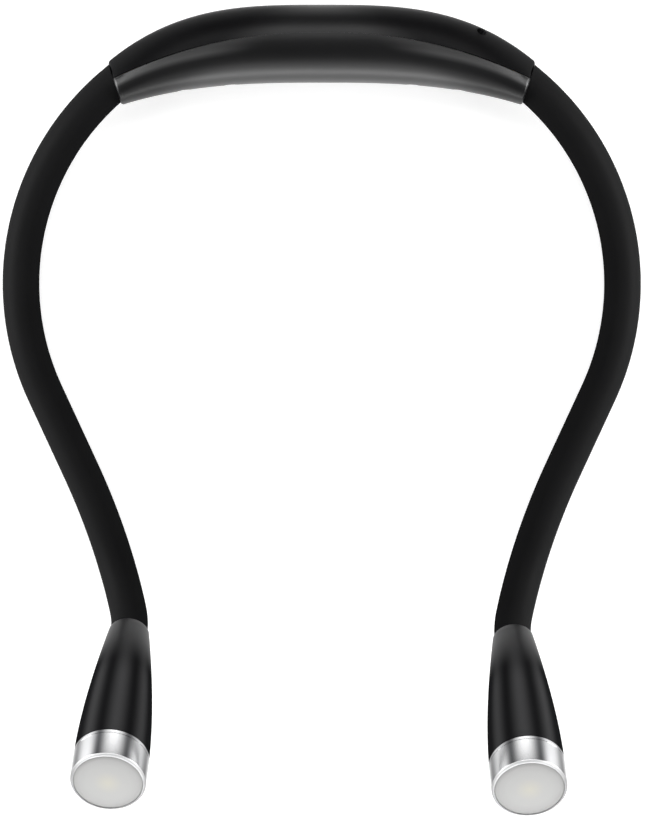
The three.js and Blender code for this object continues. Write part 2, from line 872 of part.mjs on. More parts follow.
function buildSocket() {
  const matrix = frameMatrix(socket_place);
  const front = -socket_setback;
  const back = front - socket_depth;
  const [half_width, half_height] = [socket_width / 2, socket_height / 2 - seat_gap];
  const body = block(
    new THREE.Vector3(-half_width, -half_height, back),
    new THREE.Vector3(half_width, half_height, front),
  );
  const mouth = block(
    new THREE.Vector3(-half_width + socket_wall, -half_height + socket_wall, back + socket_wall),
    new THREE.Vector3(half_width - socket_wall, half_height - socket_wall, front + cut_overrun),
  );
  const tongue = block(
    new THREE.Vector3(-socket_tongue_width / 2, -socket_tongue_height / 2, back),
    new THREE.Vector3(socket_tongue_width / 2, socket_tongue_height / 2, front - socket_wall),
  );
  const shape = join(cut(solid(body), solid(mouth)), solid(tongue));
  piece('usb_socket', surface(shape).applyMatrix4(matrix), materials.steel);
}

function buildLightPipe() {
  const matrix = frameMatrix(indicator_place);
  const back = -indicator_setback - indicator_reach;
  const barrel = rod(indicator_radius, back, -indicator_setback, ferrule_sides);
  const foot = indicatorFoot();
  const foot_bottom = board_top + charge_led_height + seat_gap;
  const stem = rod(indicator_radius / 2, foot_bottom, foot.z, bore_sides)
    .translate(foot.x, foot.y, 0);
  const shape = join(solid(barrel.applyMatrix4(matrix)), solid(stem));
  piece('light_pipe', shape, materials.clear_plastic);
}

// Leads inside the housing, swept along a smooth curve through a few places

function sweptCurve(points, outline, side) {
  const curve = new THREE.CatmullRomCurve3(points, false, 'centripetal');
  const rings = rings_per_lead_leg * (points.length - 1);
  const loops = [];
  for (let i = 0; i <= rings; i += 1) {
    const along = curve.getTangent(i / rings);
    const across = side.clone().cross(along).normalize();
    const up = across.clone().cross(along);
    loops.push(ringAt({ origin: curve.getPoint(i / rings), across, up }, outline));
  }
  return loft(loops);
}

const upwards = new THREE.Vector3(0, 0, 1);

const lead_outline = regularOutline(lead_width / 2, lead_thickness / 2, lead_sides);

// The left arm's lead climbs over the screw bosses and the battery to the board
function buildHousingLeads() {
  const tail = housing_insert + lead_tail + 2 * seat_gap;
  const landing = board_top + lead_thickness / 2 + seat_gap;
  const over_boss = mid_height + boss_radius + lead_thickness / 2 + 3 * seat_gap;
  const [far_boss, near_boss, right_boss] = screw_stations;
  const { x: battery_x, y } = battery_centre;
  const [left, left_inner] = [tail, tail + lead_thickness].map(
    (depth) => courses.left.at(-depth).origin);
  const past_boss = right_boss + boss_radius + lead_width;
  const flat_reach = battery_length / 2 - 2 * lead_width;
  const left_points = [
    left,
    left_inner,
    new THREE.Vector3(far_boss - boss_radius, (left.y + y) / 2, over_boss),
    new THREE.Vector3(far_boss + boss_radius, y, over_boss),
    new THREE.Vector3(near_boss, y, (over_boss + lead_pass_z) / 2),
    new THREE.Vector3(battery_x - battery_length / 2, y, lead_pass_z),
    new THREE.Vector3(battery_x - flat_reach, y, lead_pass_z),
    new THREE.Vector3(battery_x + flat_reach, y, lead_pass_z),
    new THREE.Vector3(battery_x + battery_length / 2, y, lead_pass_z),
    new THREE.Vector3(right_boss + boss_radius / 2, y, over_boss + seat_gap),
    new THREE.Vector3(past_boss - lead_width / 2, y, mid_height),
    new THREE.Vector3(past_boss, y, landing + seat_gap),
    new THREE.Vector3(past_boss + lead_width, y, landing),
  ];
  const left_lead = sweptCurve(left_points, lead_outline, upwards);
  piece('left_housing_lead', left_lead, materials.wire_black);
  // The right arm's lead turns down beside the indicator and lies on the board
  const [right, right_inner] = [tail, tail + lead_width / 2].map(
    (depth) => courses.right.at(-depth).origin);
  const pastInner = (across, back, z) => new THREE.Vector3(
    right_inner.x - across * lead_width, right_inner.y - back * lead_width, z);
  const right_points = [
    right,
    right_inner,
    pastInner(1, 0, mid_height - lead_thickness / 2),
    pastInner(1.7, 0.7, (mid_height + landing) / 2),
    pastInner(1.9, 1.4, landing),
    pastInner(1.9, 1.9, landing),
  ];
  const right_lead = sweptCurve(right_points, lead_outline, upwards);
  piece('right_housing_lead', right_lead, materials.wire_black);
}

function buildBatteryLeads() {
  const outline = regularOutline(lead_thickness / 2, lead_thickness / 2, lead_sides);
  const start = battery_offset + battery_length / 2 + seat_gap;
  const landing = board_top + lead_thickness / 2 + seat_gap;
  const offsets = { red: battery_nub_radius / 2, black: -2 * battery_nub_radius };
  for (const [colour, offset] of Object.entries(offsets)) {
    const y = battery_centre.y + offset;
    const points = [
      new THREE.Vector3(start + lead_thickness / 2, y, mid_height),
      new THREE.Vector3(start + lead_thickness, y, (mid_height + landing) / 2),
      new THREE.Vector3(start + lead_width, y, landing),
    ];
    const lead = sweptCurve(points, outline, upwards);
    piece(`battery_lead_${colour}`, lead, materials[`wire_${colour}`]);
  }
}

// Ferrule crimped on the gooseneck, with its flange towards +Z
function ferruleProfile(start, end) {
  const bore = clearRadius(gooseneck_diameter / 2, ferrule_sides);
  const neck = end - ferrule_flange_thickness;
  return [
    [bore, start],
    [ferrule_radius, start],
    [ferrule_radius, neck],
    [ferrule_flange_radius, neck],
    [ferrule_flange_radius, end],
    [bore, end],
    [bore, start],
  ];
}

function buildArm(course) {
  const { side, length } = course;
  const { between } = divisions(course);
  const sleeve_corner = sleeve_radius / Math.cos(Math.PI / sleeve_sides);
  const sleeve_outline = regularOutline(sleeve_corner, sleeve_corner, sleeve_sides);
  const neck_radius = gooseneck_diameter / 2;
  const neck_outline = regularOutline(neck_radius, neck_radius, gooseneck_sides);
  const bore_radius = gooseneck_bore / 2;
  const bore_outline = regularOutline(bore_radius, bore_radius, bore_sides);
  const room_radius = clearRadius(neck_radius, gooseneck_sides);
  const room_outline = regularOutline(room_radius, room_radius, gooseneck_sides);
  const half_gap = seat_gap / 2;
  hinge_names.forEach((name, i) => {
    const first = i === 0;
    const last = i === hinge_names.length - 1;
    const from = first ? 0 : between[i - 1] + half_gap;
    const to = last ? length - seat_gap : between[i] - half_gap;
    const cover = solid(loft(sleeveRings(course, sleeve_outline, from, to)));
    const room = armRings(course, room_outline, from, to);
    const before = course.at(from - 2 * cut_overrun);
    const after = course.at(to + cut_overrun);
    room.unshift(ringAt(before, room_outline));
    room.push(ringAt(after, room_outline));
    piece(`${side}_sleeve_${name}`, cut(cover, solid(loft(room))), materials.silicone);
    const neck_from = first ? -housing_insert : from;
    const neck_to = last ? length + head_insert : to;
    const neck = solid(loft(spanRings(course, neck_outline, neck_from, neck_to)));
    const bore = solid(loft(spanRings(
      course, bore_outline, neck_from - cut_overrun, neck_to + cut_overrun)));
    piece(`${side}_gooseneck_${name}`, cut(neck, bore), materials.steel);
    const lead_from = first ? -housing_insert - lead_tail : from;
    const lead_to = last ? length + head_insert + lead_tail : to;
    const lead = loft(spanRings(course, lead_outline, lead_from, lead_to));
    piece(`${side}_lead_${name}`, lead, materials.wire_black);
  });
  const end = -end_wall - seat_gap;
  const ferrule = turned(ferruleProfile(end - ferrule_length, end), ferrule_sides);
  piece(`${side}_housing_ferrule`, ferrule.applyMatrix4(frameMatrix(course.at(0))),
    materials.brass);
}

// Rings from one place to another, with the straight tails in the housing and
// the head as single steps
function spanRings(course, outline, from, to) {
  const start = Math.max(from, 0);
  const end = Math.min(to, course.length);
  const rings = armRings(course, outline, start, end);
  if (from < start) rings.unshift(ringAt(course.at(from), outline));
  if (to > end) rings.push(ringAt(course.at(to), outline));
  return rings;
}

// Lamp head, built along +Z from the rim where the arm goes in

function headRadius(z) {
  const share = 1 - (1 - THREE.MathUtils.clamp(z / head_body_length, 0, 1)) ** head_taper_power;
  return head_rear_radius + (head_front_radius - head_rear_radius) * share;
}

const bezel_start = head_body_length + seat_gap;
const bezel_front = head_body_length + bezel_length;
const spigot_front = head_body_length + spigot_length;
const reflector_seat = spigot_front + seat_gap;
const lens_seat = reflector_seat + reflector_flange_thickness + seat_gap;
const led_board_front = head_body_length;
const slug_front = led_board_front - led_board_thickness - seat_gap;
const slug_back = slug_front - heat_slug_length;
const bezel_bore = clearRadius(spigot_radius, head_sides);
const inner_fit = spigot_bore - seat_gap;

// Profile of the hollow between the gooseneck's seat and the heat slug
function headRoom(inset) {
  const profile = [];
  const length = slug_back - seat_gap - head_block_depth;
  for (let i = 0; i <= head_inner_steps; i += 1) {
    const z = head_block_depth + (length * i) / head_inner_steps;
    const radius = Math.min(headRadius(z) - head_wall, spigot_bore - slug_shoulder);
    profile.push([radius - inset, z]);
  }
  return profile;
}

function headShell() {
  const rim_step = head_rear_edge;
  const outside = [[0, 0], [headRadius(0) - rim_step, 0]];
  for (let i = 0; i <= head_profile_steps; i += 1) {
    const z = rim_step + ((head_body_length - rim_step) * i) / head_profile_steps;
    outside.push([headRadius(z), z]);
  }
  outside.push([spigot_radius, head_body_length], [spigot_radius, spigot_front], [0, spigot_front]);
  const inside = [[0, head_block_depth]];
  inside.push(...headRoom(0));
  inside.push([spigot_bore, slug_back - seat_gap], [spigot_bore, spigot_front + cut_overrun]);
  inside.push([0, spigot_front + cut_overrun]);
  const bore_radius = clearRadius(gooseneck_diameter / 2, gooseneck_sides);
  const bore = rod(bore_radius, -cut_overrun, head_block_depth + cut_overrun, gooseneck_sides);
  const reach = 2 * head_front_radius;
  const button_hole = roundedPlate(
    button_width + 2 * seat_gap,
    button_length + 2 * seat_gap,
    button_width / 2 + seat_gap,
    reach,
    button_edge_steps,
  );
  const hole = standOut(button_hole);
  return cut(solid(turned(outside, head_sides)), solid(turned(inside, head_inner_sides)),
    solid(bore), solid(hole));
}

// Turns a plate built along +Z to look out of the underside of the head at the
// button, so that its own +Z is the distance from the head's axis
function standOut(geometry) {
  return geometry.rotateX(Math.PI / 2).translate(0, 0, button_station);
}

function bezelRing() {
  const radius = bezel_radius;
  const groove = bezel_start + bezel_groove_at;
  const groove_end = groove + bezel_groove_width;
  const lip_back = lens_seat + lens_flange_thickness + seat_gap;
  const opening = lens_radius + seat_gap;
  return turned([
    [bezel_bore, bezel_start],
    [radius, bezel_start],
    [radius, groove],
    [radius - bezel_groove_depth, groove],
    [radius - bezel_groove_depth, groove_end],
    [radius, groove_end],
    [radius, bezel_front - bezel_lip_round],
    [radius - bezel_lip_round, bezel_front],
    [opening, bezel_front],
    [opening, lip_back],
    [bezel_bore, lip_back],
    [bezel_bore, bezel_start],
  ], head_sides);
}

function lensDisc() {
  const flange_front = lens_seat + lens_flange_thickness;
  const rim = bezel_front - lens_dome / 2;
  const profile = [
    [0, lens_seat],
    [lens_flange_radius, lens_seat],
    [lens_flange_radius, flange_front],
    [lens_radius, flange_front],
    [lens_radius, rim],
  ];
  for (let i = 1; i <= lens_dome_steps; i += 1) {
    const share = i / lens_dome_steps;
    profile.push([lens_radius * (1 - share), rim + lens_dome * (1 - (1 - share) ** 2)]);
  }
  return turned(profile, head_sides);
}

function reflectorCup() {
  const back = led_board_front + seat_gap;
  const front = reflector_seat + reflector_flange_thickness;
  const throat = reflector_throat_radius;
  return turned([
    [throat, back],
    [throat + reflector_wall, back],
    [inner_fit - reflector_wall, reflector_seat - reflector_wall],
    [inner_fit, reflector_seat],
    [lens_flange_radius - seat_gap, reflector_seat],
    [lens_flange_radius - seat_gap, front],
    [reflector_mouth_radius, front],
    [throat, back],
  ], head_inner_sides);
}

function heatSlug() {
  const slug = rod(inner_fit, slug_back, slug_front, head_inner_sides);
  const hole_radius = clearRadius(wire_hole_radius, bore_sides);
  const hole = rod(hole_radius, slug_back - cut_overrun, slug_front + cut_overrun, bore_sides)
    .translate(0, wire_hole_offset, 0);
  return cut(solid(slug), solid(hole));
}

const flange_half_length = button_length / 2 + button_flange;
const flange_half_width = button_width / 2 + button_flange;
const wall_at_button = (headRadius(button_station - flange_half_length) - head_wall)
  * Math.cos(Math.PI / head_inner_sides);

// The distances below are from the head's axis towards the button
function buildSwitch(side, head, button_home) {
  const flange_outside = Math.sqrt(wall_at_button ** 2 - flange_half_width ** 2) - seat_gap;
  const flange_inside = flange_outside - button_flange_thickness;
  const plunger_top = flange_inside - button_travel - seat_gap;
  const switch_top = plunger_top - switch_plunger_height;
  const switch_bottom = switch_top - switch_height;
  const cap_top = headRadius(button_station) + button_proud;
  const cap = roundedPlate(button_width, button_length, button_width / 2,
    cap_top - flange_inside, button_edge_steps).translate(0, 0, flange_inside);
  const flange = roundedPlate(
    2 * flange_half_width,
    2 * flange_half_length,
    flange_half_width,
    button_flange_thickness,
    button_edge_steps,
  ).translate(0, 0, flange_inside);
  const cap_shape = join(solid(cap), solid(flange));
  piece(`${side}_button`, standOut(surface(cap_shape)), materials.silicone, button_home);
  const plunger = rod(switch_plunger_radius, switch_bottom, plunger_top, bore_sides);
  const body_bottom = switch_bottom - switch_board_thickness / 2;
  const body = new THREE.BoxGeometry(switch_size, switch_size, switch_top - body_bottom)
    .translate(0, 0, (switch_top + body_bottom) / 2);
  const room = solid(turned([
    [0, head_block_depth], ...headRoom(seat_gap), [0, slug_back - seat_gap],
  ], head_inner_sides));
  const slab = new THREE.BoxGeometry(
    2 * head_front_radius, switch_board_length, switch_board_thickness)
    .translate(0, 0, switch_bottom - switch_board_thickness / 2);
  const board = room.intersect(solid(standOut(slab)));
  const assembled = join(board, solid(standOut(body)), solid(standOut(plunger)));
  piece(`${side}_switch_board`, assembled, materials.circuit_board, head);
}

function buildHead(course) {
  const { side, length } = course;
  const head = new THREE.Group();
  head.applyMatrix4(frameMatrix(course.at(length)));
  light.add(head);
  piece(`${side}_head_shell`, headShell(), materials.satin_black, head);
  piece(`${side}_bezel_ring`, bezelRing(), materials.aluminium, head);
  piece(`${side}_lens`, lensDisc(), materials.frosted, head);
  piece(`${side}_reflector`, reflectorCup(), materials.white_plastic, head);
  const board_back = led_board_front - led_board_thickness;
  const board = rod(inner_fit, board_back, led_board_front, head_inner_sides);
  const chip_room = led_board_thickness / 2 + led_chip_height;
  const chip = new THREE.BoxGeometry(led_chip_size, led_chip_size, chip_room)
    .translate(0, 0, led_board_front + led_chip_height - chip_room / 2);
  const lit_board = join(solid(board), solid(chip));
  piece(`${side}_led_board`, lit_board, materials.white_plastic, head);
  piece(`${side}_heat_slug`, heatSlug(), materials.aluminium, head);
  const ferrule_back = head_block_depth + seat_gap;
  const ferrule = turned(ferruleProfile(-ferrule_length, 0), ferrule_sides)
    .rotateX(Math.PI).translate(0, 0, ferrule_back);
  piece(`${side}_head_ferrule`, ferrule, materials.brass, head);
  buildSwitch(side, head, head);
  const start = head_insert + lead_tail + 2 * seat_gap;
  const points = [
    new THREE.Vector3(0, 0, start),
    new THREE.Vector3(0, wire_hole_offset, slug_back - lead_width),
    new THREE.Vector3(0, wire_hole_offset, slug_front),
  ];
  const lead = sweptCurve(points, lead_outline, new THREE.Vector3(0, 1, 0));
  piece(`${side}_head_lead`, lead, materials.wire_black, head);
}

buildHousing();
buildScrews();
buildBattery();
buildBoard();
buildSocket();
buildLightPipe();
buildBatteryLeads();
buildHousingLeads();
for (const course of Object.values(courses)) {
  buildArm(course);
  buildHead(course);
}

// The origin is under the middle of the light, on the table
light.updateMatrixWorld(true);
const extent = new THREE.Box3().setFromObject(light, true);
const middle_y = (extent.min.y + extent.max.y) / 2;
light.position.y = -middle_y;

// Places and directions that the record quotes, in the frame of the whole light
const shifted = (point) => [point.x, point.y - middle_y, point.z];
const land_y = (edgeAt(0, seamPoint, seam_half_span) - housing_depth / 2) / 2;
const port_rise = (socket_height + plug_recess_height) / 4 + seat_gap / 2;
const port = socket_place.origin.clone()
  .addScaledVector(socket_place.along, -plug_recess_depth)
  .addScaledVector(upwards, port_rise);
light.userData.places = {
  table_rest: { point: shifted(new THREE.Vector3(0, land_y, 0)), axis: [0, 0, -1] },
  charge_port: { point: shifted(port), axis: socket_place.along.toArray() },
};
for (const course of Object.values(courses)) {
  divisions(course).hinges.forEach((distance, i) => {
    const { origin, across } = course.at(distance);
    const name = `${course.side}_${hinge_names[i]}`;
    light.userData.places[name] = { point: shifted(origin), axis: across.toArray() };
  });
  const { origin, along, up } = course.at(course.length);
  const button = origin.clone().addScaledVector(along, button_station);
  light.userData.places[`${course.side}_button`] = { point: shifted(button), axis: up.toArray() };
}

export default light;
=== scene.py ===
import math

import bpy
import numpy as np
from mathutils import Matrix, Vector


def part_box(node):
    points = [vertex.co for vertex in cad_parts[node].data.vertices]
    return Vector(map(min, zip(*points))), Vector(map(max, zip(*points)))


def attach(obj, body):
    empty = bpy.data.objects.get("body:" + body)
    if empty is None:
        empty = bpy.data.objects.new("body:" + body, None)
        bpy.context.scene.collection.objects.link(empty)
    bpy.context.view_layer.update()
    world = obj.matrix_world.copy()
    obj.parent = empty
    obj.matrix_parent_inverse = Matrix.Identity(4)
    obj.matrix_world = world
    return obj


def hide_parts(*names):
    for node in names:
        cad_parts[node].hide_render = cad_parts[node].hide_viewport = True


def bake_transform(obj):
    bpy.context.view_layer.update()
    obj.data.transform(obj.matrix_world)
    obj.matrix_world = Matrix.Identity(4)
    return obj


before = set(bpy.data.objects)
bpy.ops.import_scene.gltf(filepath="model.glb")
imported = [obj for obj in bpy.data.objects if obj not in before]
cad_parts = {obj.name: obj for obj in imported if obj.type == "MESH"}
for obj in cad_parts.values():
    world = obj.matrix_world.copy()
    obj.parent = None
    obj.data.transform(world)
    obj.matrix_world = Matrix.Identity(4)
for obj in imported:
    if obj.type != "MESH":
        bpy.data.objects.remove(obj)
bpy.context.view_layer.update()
bpy.context.scene.view_settings.view_transform = "Standard"


# Camera. The light lies flat and was photographed from straight above with a
# long lens. The photograph's middle is a hair to the right of the light's own.
mm = 0.001
camera_reach = 9.71
scale_height = 8 * mm
camera_aside = 0.25 * mm
sensor_width = 36
photo_height = 818
photo_pixel = 0.3288 * mm
bpy.ops.object.camera_add(
    location=(camera_aside, 0, camera_reach + scale_height), rotation=(0, 0, 0))
camera = bpy.context.object
camera.name = "camera_overhead"
camera.data.sensor_width = sensor_width
camera.data.lens = sensor_width * camera_reach / (photo_height * photo_pixel)
camera.data.clip_start = 1
camera.data.clip_end = 30
bpy.context.scene.camera = camera


# Studio. Large soft boxes stand round the light: a narrow one behind the neck
# housing, a wide low one in front of the heads and one close to each arm. The
# room is bright at the horizon and dark overhead, so that black stays black.
def soft_box(name, place, target, width, height, brightness):
    bpy.ops.object.light_add(type="AREA", location=place)
    lamp = bpy.context.object
    lamp.name = name
    lamp.data.shape = "RECTANGLE"
    lamp.data.size = width
    lamp.data.size_y = height
    lamp.data.energy = brightness * math.pi * width * height
    lamp.visible_camera = False
    aim = Vector(target) - Vector(place)
    lamp.rotation_euler = aim.to_track_quat("-Z", "Y").to_euler()


def feed(node, sockets):
    """Gives each socket of a node its value, or links the output that drives it."""
    for socket, value in sockets.items():
        if isinstance(value, bpy.types.NodeSocket):
            node.id_data.links.new(value, node.inputs[socket])
        else:
            node.inputs[socket].default_value = value


def add_node(tree, kind, sockets=None, **settings):
    node = tree.nodes.new("ShaderNode" + kind)
    for setting, value in settings.items():
        setattr(node, setting, value)
    feed(node, sockets or {})
    return node


def axes_of(tree, place):
    return add_node(tree, "SeparateXYZ", {"Vector": place}).outputs


def remap(tree, value, start, end, first=0, last=1, curve="LINEAR"):
    """Goes from first to last while the value goes from start to end."""
    node = add_node(tree, "MapRange", interpolation_type=curve)
    feed(node, {"Value": value, "From Min": start, "From Max": end,
                "To Min": first, "To Max": last})
    return node.outputs["Result"]


soft_box("box_behind_housing", (0, 0.39, 0.43), (0, 0.12, 0.01), 0.86, 0.22, 3.8)
soft_box("box_in_front", (0, -0.85, 0.42), (0, 0, 0.02), 1.5, 0.8, 1.9)
soft_box("low_box_in_front", (0, -0.62, 0.1), (0, 0.1, 0.01), 1.0, 0.18, 6.5)
for side, sign in (("left", -1), ("right", 1)):
    soft_box(f"box_beside_{side}", (sign * 0.5, 0.08, 0.19), (sign * 0.08, -0.02, 0.02),
             0.4, 0.22, 9.5)

horizon_strength = 1.0
overhead_strength = 0.12
horizon_top = 0.12
room = bpy.data.worlds.new("studio_room")
room.use_nodes = True
room_place = add_node(room.node_tree, "TexCoord").outputs["Generated"]
room_height = axes_of(room.node_tree, room_place)["Z"]
feed(room.node_tree.nodes["Background"], {
    "Color": (1, 1, 1, 1),
    "Strength": remap(room.node_tree, room_height, 0, horizon_top, horizon_strength,
                      overhead_strength, "SMOOTHSTEP")})
bpy.context.scene.world = room


# Floor. A plain pale sheet. What looks at it straight, in metal or through
# glass sees it lifted to white, and near the light the shadow stays on it.
def opaque(colour):
    return (*colour, 1)


def shader_of(material):
    return material.node_tree.nodes["Principled BSDF"]


def start_material(name, base, roughness):
    material = bpy.data.materials.new(name)
    material.use_nodes = True
    feed(shader_of(material), {"Base Color": opaque(base), "Roughness": roughness})
    return material


def object_place(tree):
    return add_node(tree, "TexCoord").outputs["Object"]


def calculate(tree, operation, *values):
    """The result of a Math node that works on numbers and outputs."""
    return add_node(tree, "Math", dict(enumerate(values)), operation=operation).outputs[0]


def pale_sheet():
    material = start_material("floor_sheet", (0.66, 0.66, 0.66), 0.9)
    tree = material.node_tree
    rays = add_node(tree, "LightPath").outputs
    seen = calculate(tree, "MAXIMUM", rays["Is Camera Ray"], rays["Is Glossy Ray"])
    seen = calculate(tree, "MAXIMUM", seen, rays["Is Transmission Ray"])
    away = add_node(tree, "VectorMath", {0: object_place(tree)}, operation="LENGTH")
    near, far = 0.25, 0.75
    near_lift, far_lift = 0.56, 1.0
    lift = remap(tree, away.outputs["Value"], near, far, near_lift, far_lift, "SMOOTHSTEP")
    feed(shader_of(material), {
        "Specular IOR Level": 0, "Emission Color": (1, 1, 1, 1),
        "Emission Strength": calculate(tree, "MULTIPLY", seen, lift)})
    return material


bpy.ops.mesh.primitive_plane_add(size=16, location=(0, 0, -0.2 * mm))
floor = bpy.context.object
floor.name = "floor"
floor.data.materials.append(pale_sheet())


# Neck housing. Two satin black ABS mouldings meet along a curved seam, and
# four screws from the neck side hold them together. Both follow one crescent
# form, whose section changes all the way from the middle to the ends.
outer_middle_y = 132.924 * mm
housing_mid = 11.1 * mm
outer_half_span = 70.35 * mm
outer_bow = 18.9 * mm
outer_bow_power = 3.1
inner_half_span = 65.85 * mm
housing_depth = 25.7 * mm
inner_bow = 7.35 * mm
inner_bow_power = 2.8
seam_half_span = 68.3 * mm
seam_inset = 9.2 * mm
seam_bow = 15.1 * mm
seam_bow_power = 2.2
middle_half_height = 11.5 * mm
end_half_height = 8 * mm
height_power = 2.2
section_power = 2.1
crest_lean = 0.6
bevel_share = 0.5
lean_power = 4
housing_wall = 1.8 * mm
cavity_end = 0.86
end_lip = 1.1 * mm
seam_gap = 0.16 * mm
seam_chamfer = 0.14 * mm
seam_least_opening = 0.06
seam_open_from = 0.75
seam_open_power = 2.5


def outer_edge(u):
    """The outer edge in plan, where u runs from -1 at the left end to 1."""
    return np.array([outer_half_span * u, -outer_bow * abs(u) ** outer_bow_power])


def inner_edge(u):
    return np.array([
        inner_half_span * u, -housing_depth - inner_bow * abs(u) ** inner_bow_power])


def across_housing(u):
    """Outer edge, direction and width of the form there, and the seam's share of it."""
    outer = outer_edge(u)
    line = inner_edge(u) - outer
    width = float(math.hypot(*line))
    seam = np.array([seam_half_span * u, -seam_inset - seam_bow * abs(u) ** seam_bow_power])
    return outer, line / width, width, float((seam - outer) @ line / width**2)


def housing_point(u, depth, side, inset):
    """The point on the form that lies so far behind the outer edge, in plan."""
    outer, across, width, seam_share = across_housing(u)
    inner_width = width - 2 * inset
    behind = min(1.0, max(0.0, (depth - inset) / inner_width))
    seam = (seam_share * width - inset) / inner_width
    end_drop = middle_half_height - end_half_height
    half_height = middle_half_height - end_drop * abs(u) ** height_power - inset

    def rounded(share):
        away = abs(2 * share ** (1 + crest_lean * u**lean_power) - 1)
        return half_height * max(0.0, 1 - away**section_power) ** (1 / section_power)

    height = rounded(behind)
    if behind < seam:
        height += (rounded(seam) * behind / seam - height) * bevel_share * u**lean_power
    plan = outer + across * (inset + behind * inner_width)
    return Vector((plan[0], plan[1] + outer_middle_y, housing_mid + side * height))


def moulding_ring(u, half, steps, inset, hollow):
    """One closed section of a moulding: its outside, its rim and its inside."""
    _, _, width, seam_share = across_housing(u)
    away = -1 if half == "outer" else 1
    opening = min(1, seam_least_opening + (abs(u) / seam_open_from) ** seam_open_power)
    rim = seam_share * width + away * seam_gap * opening / 2
    chamfer = seam_chamfer * opening
    from_rim = rim + away * chamfer
    core = housing_wall if hollow else inset
    edge, core_edge = (depth if half == "outer" else width - depth for depth in (inset, core))
    outsides, insides = [], []
    for side in (1, -1):
        outside = [housing_point(u, rim, side, inset + chamfer)]
        inside = [housing_point(u, rim, side, core)]
        for i in range(steps + 1):
            share = math.sin(math.pi / 2 * i / steps)
            outside.append(housing_point(u, from_rim + (edge - from_rim) * share, side, inset))
            if hollow:
                inside.append(housing_point(u, rim + (core_edge - rim) * share, side, core))
        if not hollow:
            top = outside[0]
            drops = [(top.z - housing_mid) * (1 - i / (steps + 1)) for i in range(steps + 2)]
            inside = [Vector((top.x, top.y, housing_mid + drop)) for drop in drops]
        outsides.append(outside)
        insides.append(inside)
    top, bottom = outsides
    core_top, core_bottom = insides
    closed = top + bottom[-2::-1] + core_bottom[:-1] + core_top[::-1]
    for point in closed:
        point.z = max(point.z, 0.0)
    return closed


def end_cap(ring):
    """Ever smaller copies of a section, the last of them a point."""
    shares = (0.6, 0.25, 0)
    centre = sum(ring, Vector()) / len(ring)
    return [[centre + (point - centre) * share for point in ring] for share in shares]


def moulding_rings(half, steps):
    """Sections from end to end, closer at the cavity's walls and the rounded ends."""
    stations_per_side = 48
    wall_step = 0.0001
    wall_room = 0.004
    edge_per_u = 91.5 * mm
    lip_share = end_lip / edge_per_u
    straight = 1 - lip_share
    round_shares = (0.35, 0.6, 0.8, 0.93, 1.0)
    stations = [(i / stations_per_side * straight, 0.0)
                for i in range(-stations_per_side, stations_per_side + 1)]
    stations = [s for s in stations if abs(abs(s[0]) - cavity_end) > wall_room]
    for end in (-1, 1):
        stations += [(end * (cavity_end + step), 0.0) for step in (-wall_step, wall_step)]
        stations += [
            (end * (straight + lip_share * share), end_lip * (1 - math.sqrt(1 - share**2)))
            for share in round_shares]
    rings = [moulding_ring(u, half, steps, lip, abs(u) < cavity_end)
             for u, lip in sorted(stations)]
    return end_cap(rings[0])[::-1] + rings + end_cap(rings[-1])


def clear_selection():
    if bpy.context.mode != "OBJECT":
        bpy.ops.object.mode_set(mode="OBJECT")
    bpy.ops.object.select_all(action="DESELECT")


def pick(piece):
    clear_selection()
    piece.select_set(True)
    bpy.context.view_layer.objects.active = piece


def name_active(name):
    """Names the object that is active, and its mesh."""
    piece = bpy.context.object
    piece.name = name
    piece.data.name = name
    return piece


def close_up(piece):
    """Merges the doubles of a closed skin and turns its faces outwards."""
    pick(piece)
    bpy.ops.object.mode_set(mode="EDIT")
    bpy.ops.mesh.select_all(action="SELECT")
    bpy.ops.mesh.remove_doubles(threshold=2e-7)
    bpy.ops.mesh.delete_loose()
    bpy.ops.mesh.select_all(action="SELECT")
    bpy.ops.mesh.normals_make_consistent(inside=False)
    bpy.ops.object.mode_set(mode="OBJECT")


def wrap_rings(name, rings):
    """Lays the rows of a flat grid on closed rings, one row for each ring."""
    clear_selection()
    bpy.ops.mesh.primitive_grid_add(
        x_subdivisions=len(rings[0]), y_subdivisions=len(rings) - 1, size=1)
    piece = name_active(name)
    points = [point for ring in rings for point in [*ring, ring[0]]]
    for vertex, point in zip(piece.data.vertices, points):
        vertex.co = point
    close_up(piece)
    return piece


def turn_profile(name, profile, sides, unit=mm):
    """Spins a closed outline of (radius, height) points about the Z axis."""
    clear_selection()
    bpy.ops.mesh.primitive_circle_add(vertices=len(profile), radius=1)
    piece = name_active(name)
    for vertex, (radius, height) in zip(piece.data.vertices, profile):
        vertex.co = (radius * unit, 0, height * unit)
    bpy.ops.object.mode_set(mode="EDIT")
    bpy.ops.mesh.select_all(action="SELECT")
    bpy.ops.mesh.spin(steps=sides, angle=2 * math.pi, center=(0, 0, 0), axis=(0, 0, 1))
    close_up(piece)
    return piece


def settle(piece, matrix=None):
    """Moves a piece by a matrix and leaves its object at the origin."""
    if matrix is not None:
        piece.matrix_world = matrix @ piece.matrix_world
    pick(piece)
    bpy.ops.object.transform_apply(location=True, rotation=True, scale=True)
    return piece


def joined(name, pieces):
    clear_selection()
    for piece in pieces:
        piece.select_set(True)
    bpy.context.view_layer.objects.active = pieces[0]
    bpy.ops.object.join()
    return name_active(name)


def carve(piece, tool, way="DIFFERENCE", keep=False):
    pick(piece)
    cut = piece.modifiers.new("carve", "BOOLEAN")
    cut.operation = way
    cut.solver = "EXACT"
    cut.object = tool
    bpy.ops.object.modifier_apply(modifier=cut.name)
    if not keep:
        bpy.data.objects.remove(tool)
    return piece


